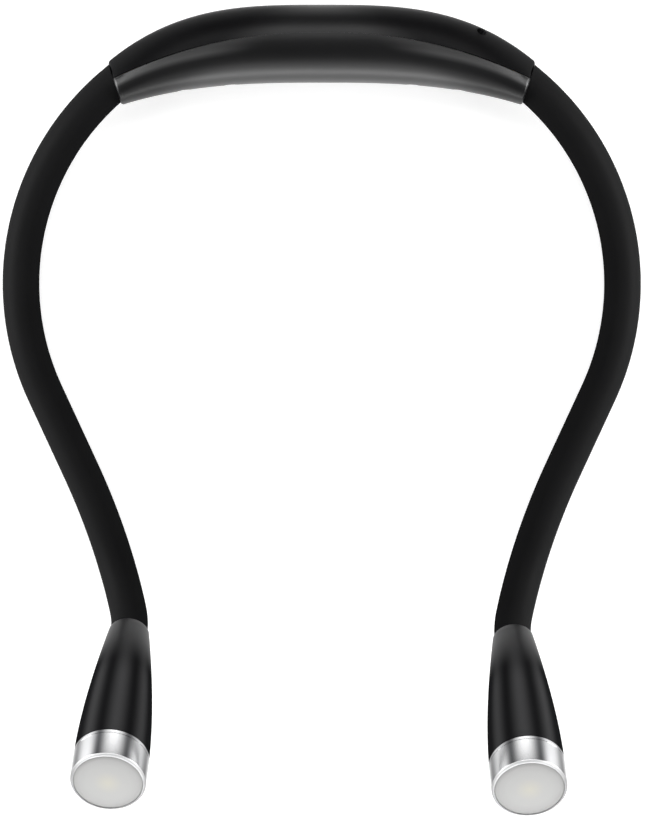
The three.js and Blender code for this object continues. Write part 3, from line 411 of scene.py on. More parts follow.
def bevel_edges(piece, offset, segments, wanted):
    """Bevels the edges of a piece whose two ends pass a test."""
    pick(piece)
    bpy.ops.object.mode_set(mode="EDIT")
    bpy.ops.mesh.select_mode(type="EDGE")
    bpy.ops.mesh.select_all(action="DESELECT")
    bpy.ops.object.mode_set(mode="OBJECT")
    for edge in piece.data.edges:
        edge.select = wanted(*(piece.data.vertices[i].co for i in edge.vertices))
    bpy.ops.object.mode_set(mode="EDIT")
    bpy.ops.mesh.bevel(offset=offset * mm, segments=segments, affect="EDGES")
    bpy.ops.object.mode_set(mode="OBJECT")


def rounded_bar(name, width, height, corner, low, high):
    """A bar with rounded edges along Z, in millimetres: a scaled, bevelled cube."""
    clear_selection()
    bpy.ops.mesh.primitive_cube_add(size=1, location=(0, 0, (low + high) / 2 * mm))
    bar = name_active(name)
    bar.scale = (width * mm, height * mm, (high - low) * mm)
    settle(bar)
    bevel_edges(bar, corner, 6, lambda a, b: max(abs(a.x - b.x), abs(a.y - b.y)) < 1e-9)
    return bar


def along_y(x, y=0):
    """Turns a piece built along +Z to lie along +Y, at the housing's mid height."""
    return Matrix.Translation((x, y, housing_mid)) @ Matrix.Rotation(-math.pi / 2, 4, "X")


def outer_face(x, rise):
    """Where a fitting stands on the outer face, with +Z looking out of it."""
    step = 0.018
    u = x / outer_half_span
    ahead = outer_edge(u + step) - outer_edge(u - step)
    ahead /= math.hypot(*ahead)
    out = Vector((-ahead[1], ahead[0], 0))
    side = Vector((ahead[0], ahead[1], 0))
    turned = Matrix((side, out.cross(side), out)).transposed().to_4x4()
    plan = outer_edge(u)
    turned.translation = Vector((plan[0], plan[1] + outer_middle_y, housing_mid + rise))
    return turned


screw_stations = [-45.4 * mm, -30 * mm, 30 * mm, 45.4 * mm]
screw_recess_depth = 3.4 * mm
board_top = 7.1 * mm
socket_half_height = 1.3 * mm
socket_place = outer_face(38.6 * mm, board_top + socket_half_height - housing_mid)
indicator_place = outer_face(53 * mm, 2.8 * mm)


def screw_cutter(x):
    """A recess for the head as far as its seat, and a hole for the shank behind."""
    recess_radius, shank_radius = 2.3, 1.35
    mouth, tip = -9, 17.5
    profile = [(0, mouth), (recess_radius, mouth), (recess_radius, 0), (shank_radius, 0),
               (shank_radius, tip), (0, tip)]
    seat = inner_edge(x / inner_half_span)[1] + outer_middle_y + screw_recess_depth
    return settle(turn_profile("screw_cutter", profile, 32), along_y(x, seat))


def socket_cutter():
    """A shallow recess for the plug's grip, and a window for the socket behind it."""
    window = rounded_bar("window", width=8.1, height=3.2, corner=0.6, low=-10, high=-0.5)
    recess = rounded_bar("recess", width=11, height=5.2, corner=1.4, low=-0.95, high=6)
    return settle(carve(window, recess, "UNION"), socket_place)


def indicator_cutter():
    radius, inner_end, outer_end = 1.75, -9, 3
    profile = [(0, inner_end), (radius, inner_end), (radius, outer_end), (0, outer_end)]
    return settle(turn_profile("pipe_hole", profile, 32), indicator_place)


arm_lengths = {"left": 200.46 * mm, "right": 202.45 * mm}
head_outward_angles = {"left": 7.7, "right": 6.0}
shoulder_start_angle = 39.7
shoulder_radius = 85.7 * mm
shoulder_turn = 75.16
straight_run = 27.9 * mm
return_radius = 231.5 * mm
collar_length = 10 * mm
droop_height = 5 * mm
droop_angle = 10
rise_radius = 45 * mm
rise_angle = 47.5
course_steps = 1600


class Course:
    """The line of one arm. It leaves the middle of the housing's end face, comes
    down to the table, turns in towards the wearer and rises to its lamp head."""

    def __init__(self, side):
        self.side = side
        self.sign = -1 if side == "left" else 1
        self.length = arm_lengths[side]
        self.step = self.length / course_steps
        middle = (outer_edge(1) + inner_edge(1)) / 2
        start = np.array([self.sign * middle[0], middle[1] + outer_middle_y, housing_mid])
        halfway = (np.arange(course_steps) + 0.5) * self.step
        steps = np.cumsum(self.direction(halfway) * self.step, axis=0)
        self.points = np.vstack([start, start + steps])

    def direction(self, at):
        """Which way the arm runs at distances from the housing."""
        shoulder = shoulder_radius * math.radians(shoulder_turn)
        return_start = shoulder + straight_run
        return_length = self.length - return_start
        return_turn = math.degrees(return_length / return_radius)
        before_collar = shoulder_start_angle + shoulder_turn - return_turn
        collar_turn = before_collar - (90 - head_outward_angles[self.side])
        droop_radius = droop_height / (2 * (1 - math.cos(math.radians(droop_angle))))
        droop = droop_radius * math.radians(droop_angle)
        rise = rise_radius * math.radians(rise_angle)

        def turned(angle, start, span):
            return angle * np.clip((at - start) / span, 0, 1)

        heading = np.radians(
            shoulder_start_angle + turned(shoulder_turn, 0, shoulder)
            - turned(return_turn, return_start, return_length)
            - turned(collar_turn, self.length - collar_length, collar_length))
        slope = np.radians(
            turned(droop_angle, droop, droop) - turned(droop_angle, 0, droop)
            + turned(rise_angle, self.length - rise, rise))
        return np.stack([
            self.sign * np.cos(slope) * np.cos(heading), -np.cos(slope) * np.sin(heading),
            np.sin(slope)], axis=-1)

    def at(self, s):
        """Origin, across, up and along at the distances s from the housing."""
        s = np.atleast_1d(np.asarray(s, float))
        place = np.clip(s / self.step, 0, course_steps)
        index = np.minimum(place.astype(int), course_steps - 1)
        share = (place - index)[:, None]
        origin = self.points[index] * (1 - share) + self.points[index + 1] * share
        along = self.direction(np.clip(s, 0, self.length))
        origin = origin + along * (s - place * self.step)[:, None]
        across = np.cross(np.array([0.0, 0.0, 1.0]), along)
        across /= np.linalg.norm(across, axis=1)[:, None]
        up = np.cross(along, across)
        return origin, across, up, along

    def matrix(self, s):
        origin, across, up, along = (a[0] for a in self.at(s))
        placed = Matrix((across, up, along)).transposed().to_4x4()
        placed.translation = Vector(origin)
        return placed

    def point(self, s):
        return Vector(self.at(s)[0][0])

    def end(self):
        """Where the lamp head starts, with +Z along it."""
        return self.matrix(self.length)


courses = [Course("left"), Course("right")]
neck_hole = 3.95


def arm_hole_cutter(course):
    """A bore for the gooseneck, a wider one for its ferrule and a groove for the flange."""
    ferrule_hole, flange_groove = 4.8, 5.35
    inner_end, groove_end, groove_start, outer_end = -16, -5, -3, 8
    profile = [
        (0, inner_end), (ferrule_hole, inner_end), (ferrule_hole, groove_end),
        (flange_groove, groove_end), (flange_groove, groove_start), (neck_hole, groove_start),
        (neck_hole, outer_end), (0, outer_end)]
    return settle(turn_profile("arm_hole", profile, 40), course.matrix(0))


def noise(tree, place, scale, detail=2):
    node = add_node(tree, "TexNoise", {"Vector": place, "Scale": scale, "Detail": detail})
    return node.outputs["Fac"]


def bumps(tree, strength, depth, height):
    node = add_node(tree, "Bump", {"Strength": strength, "Distance": depth, "Height": height})
    return node.outputs["Normal"]


def fine_grain_group():
    """Spark-eroded mould texture: a fine grain, and a slow drift in its tone."""
    group = bpy.data.node_groups.new("fine_grain", "ShaderNodeTree")
    face = group.interface
    face.new_socket("Vector", in_out="INPUT", socket_type="NodeSocketVector")
    face.new_socket("Grain Size", in_out="INPUT", socket_type="NodeSocketFloat")
    face.new_socket("Height", in_out="OUTPUT", socket_type="NodeSocketFloat")
    face.new_socket("Tone", in_out="OUTPUT", socket_type="NodeSocketFloat")
    entry = group.nodes.new("NodeGroupInput").outputs
    feed(group.nodes.new("NodeGroupOutput"), {
        "Height": noise(group, entry["Vector"], entry["Grain Size"]),
        "Tone": noise(group, entry["Vector"], 60, 4)})
    return group


fine_grain = fine_grain_group()


def mix_colours(tree, share, first, second, way="MIX"):
    node = add_node(tree, "Mix", data_type="RGBA", blend_type=way)
    feed(node, {0: share, 6: first, 7: second})
    return node.outputs[2]


def colour_ramp(tree, share, stops):
    """Colours that change with a share, through stops of (share, colour)."""
    node = add_node(tree, "ValToRGB", {"Fac": share})
    elements = node.color_ramp.elements
    elements[0].position, elements[1].position = stops[0][0], stops[-1][0]
    for at, _ in stops[1:-1]:
        elements.new(at)
    for element, (_, colour) in zip(elements, stops):
        element.color = opaque(colour)
    return node.outputs["Color"]


def grained(name, dark, light, rough, grain_size, depth):
    """A plastic or rubber whose colour and gloss drift a little over the grain."""
    material = start_material(name, dark, rough[0])
    tree = material.node_tree
    grain = add_node(tree, "Group", node_tree=fine_grain)
    feed(grain, {"Vector": object_place(tree), "Grain Size": grain_size})
    tone = grain.outputs["Tone"]
    feed(shader_of(material), {
        "Base Color": mix_colours(tree, tone, opaque(dark), opaque(light)),
        "Roughness": remap(tree, tone, 0, 1, *rough),
        "Normal": bumps(tree, 0.35, depth * mm, grain.outputs["Height"])})
    return material


def moulded_black(name, plain_shine, middle_coat, end_coat, end_highlight):
    """The housing's plastic. Its coat changes from the outer edge to the inner in one
    way in the middle and in another near the ends, where a painted highlight lightens
    its colour too."""
    material = grained(
        name, (0.0024, 0.0024, 0.0027), (0.0046, 0.0046, 0.005), (0.35, 0.42), 5200, 0.02)
    tree, shader = material.node_tree, shader_of(material)
    across = add_node(tree, "Attribute", attribute_name="share_across").outputs["Fac"]

    def level_across(levels):
        return colour_ramp(tree, across, [(at, (level, level, level)) for at, level in levels])

    inner_lead, end_start, end_full = 40 * mm, -2 * mm, 20 * mm
    x = axes_of(tree, object_place(tree))["X"]
    outwards = calculate(tree, "ABSOLUTE", x)
    outwards = calculate(tree, "MULTIPLY_ADD", across, -inner_lead, outwards)
    near_end = remap(tree, outwards, end_start, end_full, curve="SMOOTHSTEP")
    coat_level = add_node(tree, "Mix", {
        0: near_end, 2: level_across(middle_coat), 3: level_across(end_coat)}).outputs[0]
    tone = shader.inputs["Base Color"].links[0].from_socket
    # Near the ends a painted highlight, a lighter strip across the moulding, is added to the base
    # colour.
    feed(shader, {
        "Specular IOR Level": plain_shine, "Coat Roughness": 0.38, "Coat Weight": coat_level,
        "Base Color": mix_colours(tree, near_end, tone, level_across(end_highlight), "ADD")})
    return material


outer_black = moulded_black(
    "satin_black_outer", 0.06, ((0, 0.36), (1, 0.36)), ((0, 0), (1, 0)), ((0, 0), (1, 0)))
# For the inner moulding the last list is a painted highlight: a lighter strip just past the seam
# near the ends.
inner_black = moulded_black(
    "satin_black_inner", 0.2,
    ((0.36, 0.26), (0.45, 0.14), (0.6, 0.12), (0.68, 0.22), (0.8, 0.42), (0.92, 0.6), (1, 0.5)),
    ((0.4, 0.95), (0.56, 1), (0.62, 0.4), (0.7, 0.16), (0.8, 0.03), (1, 0.06)),
    ((0.42, 0), (0.48, 0.01), (0.54, 0.03), (0.59, 0.012), (0.63, 0)))


def keep_share_across(piece):
    """Keeps at each vertex how far it lies from the outer edge to the inner."""
    mean_half_span = 68 * mm
    kept = piece.data.attributes.new("share_across", "FLOAT", "POINT")
    for vertex, value in zip(piece.data.vertices, kept.data):
        u = min(1.0, abs(vertex.co.x) / mean_half_span)
        outer_y, inner_y = outer_edge(u)[1], inner_edge(u)[1]
        value.value = (vertex.co.y - outer_middle_y - outer_y) / (inner_y - outer_y)


def coat(piece, material):
    piece.data.materials.clear()
    piece.data.materials.append(material)


def smooth_and_coat(piece, material, angle):
    pick(piece)
    bpy.ops.object.shade_smooth_by_angle(angle=math.radians(angle))
    coat(piece, material)


def fit(piece, material, body, node, angle=32):
    """Finishes a rigid piece, rides it on its body and puts it in a node's place."""
    smooth_and_coat(piece, material, angle)
    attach(piece, body)
    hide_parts(node)


outer_moulding = wrap_rings("outer_moulding", moulding_rings("outer", 14))
inner_moulding = wrap_rings("inner_moulding", moulding_rings("inner", 18))
cutter = joined("housing_cutter", [
    *(screw_cutter(x) for x in screw_stations), socket_cutter(), indicator_cutter(),
    *(arm_hole_cutter(course) for course in courses)])
for moulding, node, black in (
        (outer_moulding, "outer_shell", outer_black), (inner_moulding, "inner_shell", inner_black)):
    carve(moulding, cutter, keep=True)
    keep_share_across(moulding)
    fit(moulding, black, "housing", node)
bpy.data.objects.remove(cutter)


# Screws. Four zinc-plated pan heads with a cross slot sit at the bottom of
# recesses on the neck side and draw the two mouldings together.
def metal(name, base, roughness):
    """A metal whose tone and gloss vary a little, as handling leaves them."""
    material = start_material(name, base, roughness)
    tree = material.node_tree
    wear = noise(tree, object_place(tree), 900, 5)
    duller = [level * 0.85 for level in base]
    spread = 0.07
    feed(shader_of(material), {
        "Metallic": 1, "Base Color": mix_colours(tree, wear, opaque(duller), opaque(base)),
        "Roughness": remap(tree, wear, 0, 1, roughness - spread, roughness + spread)})
    return material


def screw_profile(length):
    """The rounded head and its flat seat, the thread and the point."""
    core, crest, pitch = 0.78, 1.0, 0.8
    thread_start, unthreaded, point = 2.2, 4, 1.2
    profile = [(0, 0), (1.0, 0), (1.45, 0.12), (1.8, 0.45), (1.9, 0.8), (1.9, 1.3), (crest, 1.3)]
    for turn in range(int((length - unthreaded) / pitch)):
        base = thread_start + pitch * turn
        profile += [(core, base), (crest, base + 0.35), (core, base + 0.7)]
    return profile + [(0.7, length - point), (0, length)]


zinc = metal("zinc_plated_steel", (0.4, 0.41, 0.43), 0.38)
cross_slot = (2.2 * mm, 0.5 * mm, 1.3 * mm)
for number, x in enumerate(screw_stations, start=1):
    low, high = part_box(f"shell_screw_{number}")
    screw = turn_profile(f"screw_{number}", screw_profile((high.y - low.y) / mm), 24)
    for turn in (0, math.pi / 2):
        clear_selection()
        bpy.ops.mesh.primitive_cube_add(size=1, location=(0, 0, 0), rotation=(0, 0, turn))
        slot = bpy.context.object
        slot.scale = cross_slot
        carve(screw, settle(slot))
    settle(screw, along_y(x, low.y))
    fit(screw, zinc, "housing", f"shell_screw_{number}")


# Indicator. A smoked acrylic light pipe stands in a round hole on the outer
# edge and brings the light of a small LED on the board out to the surface.
def smoked_acrylic():
    material = start_material("smoked_acrylic", (0.0012, 0.0012, 0.0015), 0.3)
    tree = material.node_tree
    tone = noise(tree, object_place(tree), 700)
    feed(shader_of(material), {
        "Specular IOR Level": 0.02, "Roughness": remap(tree, tone, 0, 1, 0.26, 0.34)})
    return material


light_pipe = turn_profile("indicator_pipe", [
    (0, -7.9), (1.45, -7.9), (1.6, -7.7), (1.6, -0.62), (1.56, -0.54), (1.4, -0.51),
    (0, -0.5)], 32)
settle(light_pipe, indicator_place)
fit(light_pipe, smoked_acrylic(), "housing", "light_pipe")


# Battery. A lithium cell in blue shrink film lies along the housing. The film
# is drawn over both of its ends, and a plated cap stands proud at the right.
battery_film = grained("battery_shrink_film", (0.03, 0.13, 0.32), (0.035, 0.16, 0.38),
                       (0.2, 0.28), 900, 0.02)
low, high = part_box("battery_cell")
cap_height = 0.9
end = (high.x - low.x) / mm - cap_height
cell_profile = [
    (0, 0.3), (5.3, 0.3), (5.5, 0.1), (5.9, 0), (6.4, 0.1), (6.65, 0.35), (6.7, 0.7),
    (6.7, end - 2.1), (6.56, end - 1.9), (6.56, end - 1.6), (6.7, end - 1.4), (6.7, end - 0.6),
    (6.62, end - 0.28), (6.35, end - 0.06), (5.9, end), (5.5, end - 0.1), (5.3, end - 0.3),
    (0, end - 0.3)]
cap_profile = [
    (0, end - 0.28), (3.3, end - 0.28), (3.3, end - 0.05), (2.7, end), (2.6, end + 0.12),
    (2.6, end + 0.7), (2.52, end + 0.84), (2.35, end + cap_height), (0, end + cap_height)]
cell_place = Matrix.Translation((low.x, (low.y + high.y) / 2, (low.z + high.z) / 2))
for name, profile, material, slot in (
        ("battery", cell_profile, battery_film, "battery_wrap"),
        ("battery_cap", cap_profile, zinc, "steel")):
    cell = turn_profile(name, profile, 48)
    settle(cell, cell_place @ Matrix.Rotation(math.pi / 2, 4, "Y"))
    fit(cell, material, "housing", "battery_cell")


# Charging socket. A drawn steel shell with rounded sides stands on the board
# behind the recess in the outer face. Its black tongue carries the contacts.
socket_steel = metal("socket_steel", (0.62, 0.62, 0.63), 0.26)
contact_gold = metal("contact_gold", (0.8, 0.6, 0.28), 0.24)
tongue_black = grained("tongue_black", (0.006, 0.006, 0.006), (0.009, 0.009, 0.009),
                       (0.35, 0.42), 4000, 0.01)
contact_count = 8
contact_pitch = 0.5 * mm


def row_of_contacts():
    first = rounded_bar("contact", width=0.26, height=0.68, corner=0.06, low=-4.4, high=-1.7)
    contacts = [first]
    for number in range(1, contact_count):
        contact = first.copy()
        contact.data = first.data.copy()
        bpy.context.collection.objects.link(contact)
        contact.location.x = number * contact_pitch
        contacts.append(contact)
    row = joined("socket_contacts", contacts)
    row.location.x = -(contact_count - 1) / 2 * contact_pitch
    return settle(row)


socket = rounded_bar("socket_shell", width=7.5, height=2, corner=0.95, low=-6.5, high=-1.1)
mouth = rounded_bar("socket_mouth", width=6.8, height=1.3, corner=0.62, low=-6.15, high=0)
carve(socket, mouth)
tongue = rounded_bar("socket_tongue", width=4.4, height=0.6, corner=0.2, low=-6.2, high=-1.45)
for fitting, material in (
        (socket, socket_steel), (tongue, tongue_black), (row_of_contacts(), contact_gold)):
    settle(fitting, socket_place)
    fit(fitting, material, "housing", "usb_socket")


# Ferrules. A turned brass ferrule with two crimped grooves holds each end of a
# gooseneck. One end is gripped in the housing's end block, one in the head.
brass = metal("turned_brass", (0.72, 0.53, 0.25), 0.3)
housing_flange = -3.3
head_flange = 10.3


def ferrule(name, face, away, matrix):
    """A ferrule from its flange's face, reaching that way along the arm."""
    profile = [
        (4.1, 0.15), (4.25, 0), (4.85, 0), (5.0, 0.15), (5.0, 1.25), (4.85, 1.4), (4.5, 1.4),
        (4.5, 2.9), (4.32, 3.05), (4.32, 3.4), (4.5, 3.55), (4.5, 4.5), (4.32, 4.65),
        (4.32, 5.0), (4.5, 5.15), (4.5, 6.4), (4.32, 6.6), (4.1, 6.6)]
    turned = turn_profile(name, [(r, face + away * z) for r, z in profile], 40)
    return settle(turned, matrix)


for course in courses:
    side = course.side
    fit(ferrule(f"{side}_housing_end_ferrule", housing_flange, -1, course.matrix(0)),
        brass, "housing", f"{side}_housing_ferrule")
    fit(ferrule(f"{side}_head_end_ferrule", head_flange, 1, course.end()),
        brass, f"{side}_head", f"{side}_head_ferrule")


# Arms. One silicone sleeve covers each arm from the housing to the head. It is
# made as four lengths that meet without a gap, because each bends at one hinge.
hinge_shares = [0.14, 0.40, 0.65, 0.907]
arm_names = ["upper", "middle", "lower", "end"]
length_gap = 0.1 * mm


class ArmPart:
    """One of an arm's four lengths, with the hinge that it bends at."""

    def __init__(self, course, number):
        hinges = [share * course.length for share in hinge_shares]
        between = [(a + b) / 2 for a, b in zip(hinges, hinges[1:])]
        carried = ["upper_arm", "middle_arm", "lower_arm", "head"]
        bodies = ["housing", *(f"{course.side}_{name}" for name in carried)]
        self.course = course
        self.name = arm_names[number]
        self.start, self.end = [0, *between, course.length][number:number + 2]
        self.hinge = hinges[number]
        self.reach = (18 if self.name == "end" else 22) * mm
        self.before, self.after = bodies[number:number + 2]

    def inner_run(self, into_housing, into_head):
        """Where a piece inside the sleeve starts and ends, a hair short of the next."""
        first = -into_housing if self.name == "upper" else self.start + length_gap
        last = self.end + into_head if self.name == "end" else self.end - length_gap
        return first, last


arm_parts = [ArmPart(course, number) for course in courses for number in range(4)]


def keep_straight(piece):
    """Keeps a piece's straight coordinates on it, for materials that follow them."""
    mesh = piece.data
    straight = np.zeros(len(mesh.vertices) * 3)
    mesh.vertices.foreach_get("co", straight)
    kept = mesh.attributes.new("straight", "FLOAT_VECTOR", "POINT")
    kept.data.foreach_set("vector", straight.astype(np.float32))
    return straight.reshape(-1, 3)


def straight_place(tree):
    return add_node(tree, "Attribute", attribute_name="straight").outputs["Vector"]


def fit_on_arm(piece, part, material, node, angle=32):
    """Bends a straight piece to its arm's course."""
    straight = keep_straight(piece)
    origin, across, up, _ = part.course.at(straight[:, 2])
    bent = origin + across * straight[:, :1] + up * straight[:, 1:2]
    piece.data.vertices.foreach_set("co", bent.ravel())
    piece.data.update()
    smooth_and_coat(piece, material, angle)
    start, end = (part.course.point(part.hinge + way * part.reach) for way in (-1, 1))
    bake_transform(piece)
    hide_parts(f"{part.course.side}_{node}_{part.name}")


def slant_to_face(piece, course):
    """Slants the first few millimetres, so that the end lies on the housing."""
    face_gap = 0.01 * mm
    reach = 8 * mm
    line = inner_edge(1) - outer_edge(1)
    normal = Vector((course.sign * -line[1], line[0], 0)).normalized()
    turn = course.matrix(0).to_3x3()
    along = turn @ Vector((0, 0, 1))
    for vertex in piece.data.vertices:
        if vertex.co.z < reach:
            flat = turn @ Vector((vertex.co.x, vertex.co.y, 0))
            travel = (face_gap - flat.dot(normal)) / along.dot(normal)
            vertex.co.z = travel + vertex.co.z * (reach - travel) / reach


def black_silicone():
    """Matt rubber, with a faint sheen on each arm's outward side."""
    material = grained("black_silicone", (0.0058, 0.0058, 0.006), (0.008, 0.008, 0.0083),
                       (0.55, 0.65), 2600, 0.03)
    tree = material.node_tree
    x = axes_of(tree, object_place(tree))["X"]
    own_x = axes_of(tree, straight_place(tree))["X"]
    outward = calculate(tree, "MULTIPLY", calculate(tree, "SIGN", x), own_x)
    feed(shader_of(material), {
        "Coat Weight": remap(tree, outward, -2 * mm, 5 * mm, 0, 0.17),
        "Coat Roughness": 0.6, "Specular IOR Level": 0})
    return material


def evenly(start, end, steps):
    return [start + (end - start) * i / steps for i in range(steps + 1)]


def inner_wall(bore, start, end):
    return [(bore, z) for z in evenly(end, start, 8)]


def tube_profile(bore, radius, start, end, pitch):
    outside = [(radius, z) for z in evenly(start, end, max(1, round((end - start) / pitch)))]
    return outside + inner_wall(bore, start, end)


silicone = black_silicone()
sleeve_radius = 6.05 * mm
sleeve_end_gap = 0.3 * mm
sleeve_pitch = 1.6 * mm
for part in arm_parts:
    stop = part.end - sleeve_end_gap if part.name == "end" else part.end
    profile = tube_profile(neck_hole * mm, sleeve_radius, part.start, stop, sleeve_pitch)
    sleeve = turn_profile(f"{part.course.side}_cover_{part.name}", profile, 40, unit=1)
    if part.name == "upper":
        slant_to_face(sleeve, part.course)
    fit_on_arm(sleeve, part, silicone, "sleeve")


# Goosenecks. Inside each sleeve runs a steel gooseneck: round wire wound over
# a thinner wedge wire, so that it stays where it is bent.
gooseneck_steel = metal("gooseneck_steel", (0.42, 0.42, 0.43), 0.38)
valley_radius = 3.28 * mm
flank_radius = 3.5 * mm
crest_radius = 3.6 * mm
gooseneck_bore = 2.4 * mm
wire_pitch = 1.6 * mm
gooseneck_in_housing = 12 * mm
gooseneck_in_head = 17 * mm


def wound_profile(start, end):
    turns = int((end - start) / wire_pitch)
    pitch = (end - start) / turns
    outside = [(valley_radius, start)]
    for turn in range(turns):
        base = start + turn * pitch
        outside += [(flank_radius, base + 0.2 * pitch), (crest_radius, base + 0.45 * pitch),
                    (flank_radius, base + 0.7 * pitch), (valley_radius, base + pitch)]
    return outside + inner_wall(gooseneck_bore, start, end)


for part in arm_parts:
    profile = wound_profile(*part.inner_run(gooseneck_in_housing, gooseneck_in_head))
    neck = turn_profile(f"{part.course.side}_wound_neck_{part.name}", profile, 18, unit=1)
    fit_on_arm(neck, part, gooseneck_steel, "gooseneck", angle=50)


# Leads in the arms. A flat two-core lead with black insulation runs through
# each gooseneck from the housing to the lamp head.
def insulation(name, base):
    lighter = tuple(level * 1.3 for level in base)
    return grained(name, base, lighter, (0.3, 0.4), 1500, 0.01)


def two_core_outline(width, thickness):
    """An oval with a waist between the two cores."""
    sides, waist_depth, waist_power = 20, 0.28, 8
    outline = []
    for i in range(sides):
        angle = 2 * math.pi * i / sides
        waist = 1 - waist_depth * math.cos(angle + math.pi / 2) ** waist_power
        outline.append((width / 2 * math.cos(angle), thickness / 2 * math.sin(angle) * waist))
    return outline


def straight_bar(name, outline, start, end, pitch):
    """A bar along Z with closed ends and a section at each pitch."""
    places = evenly(start, end, max(1, round((end - start) / pitch)))
    rings = [[Vector((x, y, z)) for x, y in outline] for z in places]
    ends = [[Vector((0, 0, z)) for _ in outline] for z in (start, end)]
    return wrap_rings(name, [ends[0], *rings, ends[1]])


black_insulation = insulation("black_insulation", (0.012, 0.012, 0.013))
lead_width = 2.6 * mm
lead_thickness = 1.5 * mm
lead_in_housing = 13 * mm
lead_in_head = 18 * mm
lead_pitch = 2.2 * mm
for part in arm_parts:
    start, end = part.inner_run(lead_in_housing, lead_in_head)
    outline = two_core_outline(lead_width, lead_thickness)
    lead = straight_bar(
        f"{part.course.side}_two_core_{part.name}", outline, start, end, lead_pitch)
    fit_on_arm(lead, part, black_insulation, "lead", angle=40)


# Lamp heads. A tapered satin black moulding, slimmest at the arm. Its back is a
# solid block round the gooseneck, and its front a spigot inside the bezel.
head_rear_radius = 6.6
head_front_radius = 12.4
head_body_length = 60.1
head_taper_power = 1.62
head_wall = 1.8
head_block_depth = 10
lead_room_radius = 9.4
slug_bore = 10.2
slug_bore_start = 45.9
spigot_radius = 11.5
spigot_end = 66.5
button_station = 30
button_length = 9
button_width = 5.6
button_slot_gap = 0.6
underside = (Matrix.Translation((0, 0, button_station * mm))
             @ Matrix.Rotation(math.pi / 2, 4, "X"))


def head_radius(z):
    share = min(max(z / head_body_length, 0), 1)
    taper = 1 - (1 - share) ** head_taper_power
    return head_rear_radius + (head_front_radius - head_rear_radius) * taper


def head_profile():
    edge = 0.1
    rear = [(neck_hole, 0), (6.15, 0), (6.35, 0.06), (6.55, 0.25)]
    taper = [(head_radius(z), z) for z in evenly(0.5, 59.9, 36)]
    shoulder = [(12.36, head_body_length - 0.06), (12.3, head_body_length)]
    spigot = [(spigot_radius, head_body_length), (spigot_radius, spigot_end - edge),
              (spigot_radius - edge, spigot_end), (slug_bore + edge, spigot_end),
              (slug_bore, spigot_end - edge), (slug_bore, slug_bore_start)]
    inside = [(min(head_radius(z) - head_wall, lead_room_radius), z)
              for z in evenly(slug_bore_start, head_block_depth, 12)]
    return rear + taper + shoulder + spigot + inside + [(neck_hole, head_block_depth)]


def stadium(name, length, width, low, high, rounding=0.0):
    """A bar with half-round ends along Y: a cylinder whose halves move apart."""
    clear_selection()
    bpy.ops.mesh.primitive_cylinder_add(
        vertices=48, radius=width / 2 * mm, depth=(high - low) * mm,
        location=(0, 0, (low + high) / 2 * mm))
    bar = settle(name_active(name))
    for vertex in bar.data.vertices:
        if abs(vertex.co.y) > 1e-9:
            vertex.co.y += math.copysign((length - width) / 2 * mm, vertex.co.y)
    if rounding:
        bevel_edges(bar, rounding, 4, lambda a, b: min(a.z, b.z) > high * mm - 1e-6)
    return bar


def painted_reflection_bands(tree):
    """Eight soft bands in a turn about the axis, for painted reflections, the place
    along it, and how far the surface faces the front, for painted light there."""
    axes = axes_of(tree, straight_place(tree))
    bearing = calculate(tree, "ARCTAN2", axes["X"], axes["Y"])
    wave = calculate(tree, "COSINE", calculate(tree, "MULTIPLY", bearing, 8))
    return remap(tree, wave, -1, 1), axes["Z"], calculate(tree, "COSINE", bearing)


def head_plastic():
    """Satin black with painted highlight streaks in front, and a coat that fades
    from the rear.
    """
    material = grained("head_black_plastic", (0.004, 0.004, 0.0044), (0.0065, 0.0065, 0.007),
                       (0.38, 0.44), 5200, 0.02)
    tree = material.node_tree
    painted_bands, along, facing = painted_reflection_bands(tree)
    painted_streaks_start = remap(tree, along, 6 * mm, 34 * mm, curve="SMOOTHSTEP")
    painted_lit_side = remap(tree, facing, 0.4, 0.8, curve="SMOOTHSTEP")
    painted_streaks = calculate(tree, "MULTIPLY", painted_bands, painted_streaks_start)
    painted_streaks = calculate(tree, "MULTIPLY", painted_streaks, painted_lit_side)
    # The light colour is a painted highlight: streaks of lamp reflection in the bands on the front
    # side, fading in from the rear.
    dark, light = (0.0072, 0.0072, 0.0077), (0.039, 0.039, 0.04)
    feed(shader_of(material), {
        "Specular IOR Level": 0, "Coat Roughness": 0.41,
        "Base Color": mix_colours(tree, painted_streaks, opaque(dark), opaque(light)),
        "Coat Weight": remap(tree, along, 2 * mm, 24 * mm, 0.78, 0, "SMOOTHSTEP")})
    return material


def fit_on_head(piece, course, material, node):
    settle(piece, course.end())
    fit(piece, material, f"{course.side}_head", f"{course.side}_{node}")


head_black = head_plastic()
for course in courses:
    head = turn_profile(f"{course.side}_head_moulding", head_profile(), 64)
    button_hole = stadium("button_hole", length=button_length + button_slot_gap,
                          width=button_width + button_slot_gap, low=2, high=20)
    carve(head, settle(button_hole, underside))
    keep_straight(head)
    fit_on_head(head, course, head_black, "head_shell")


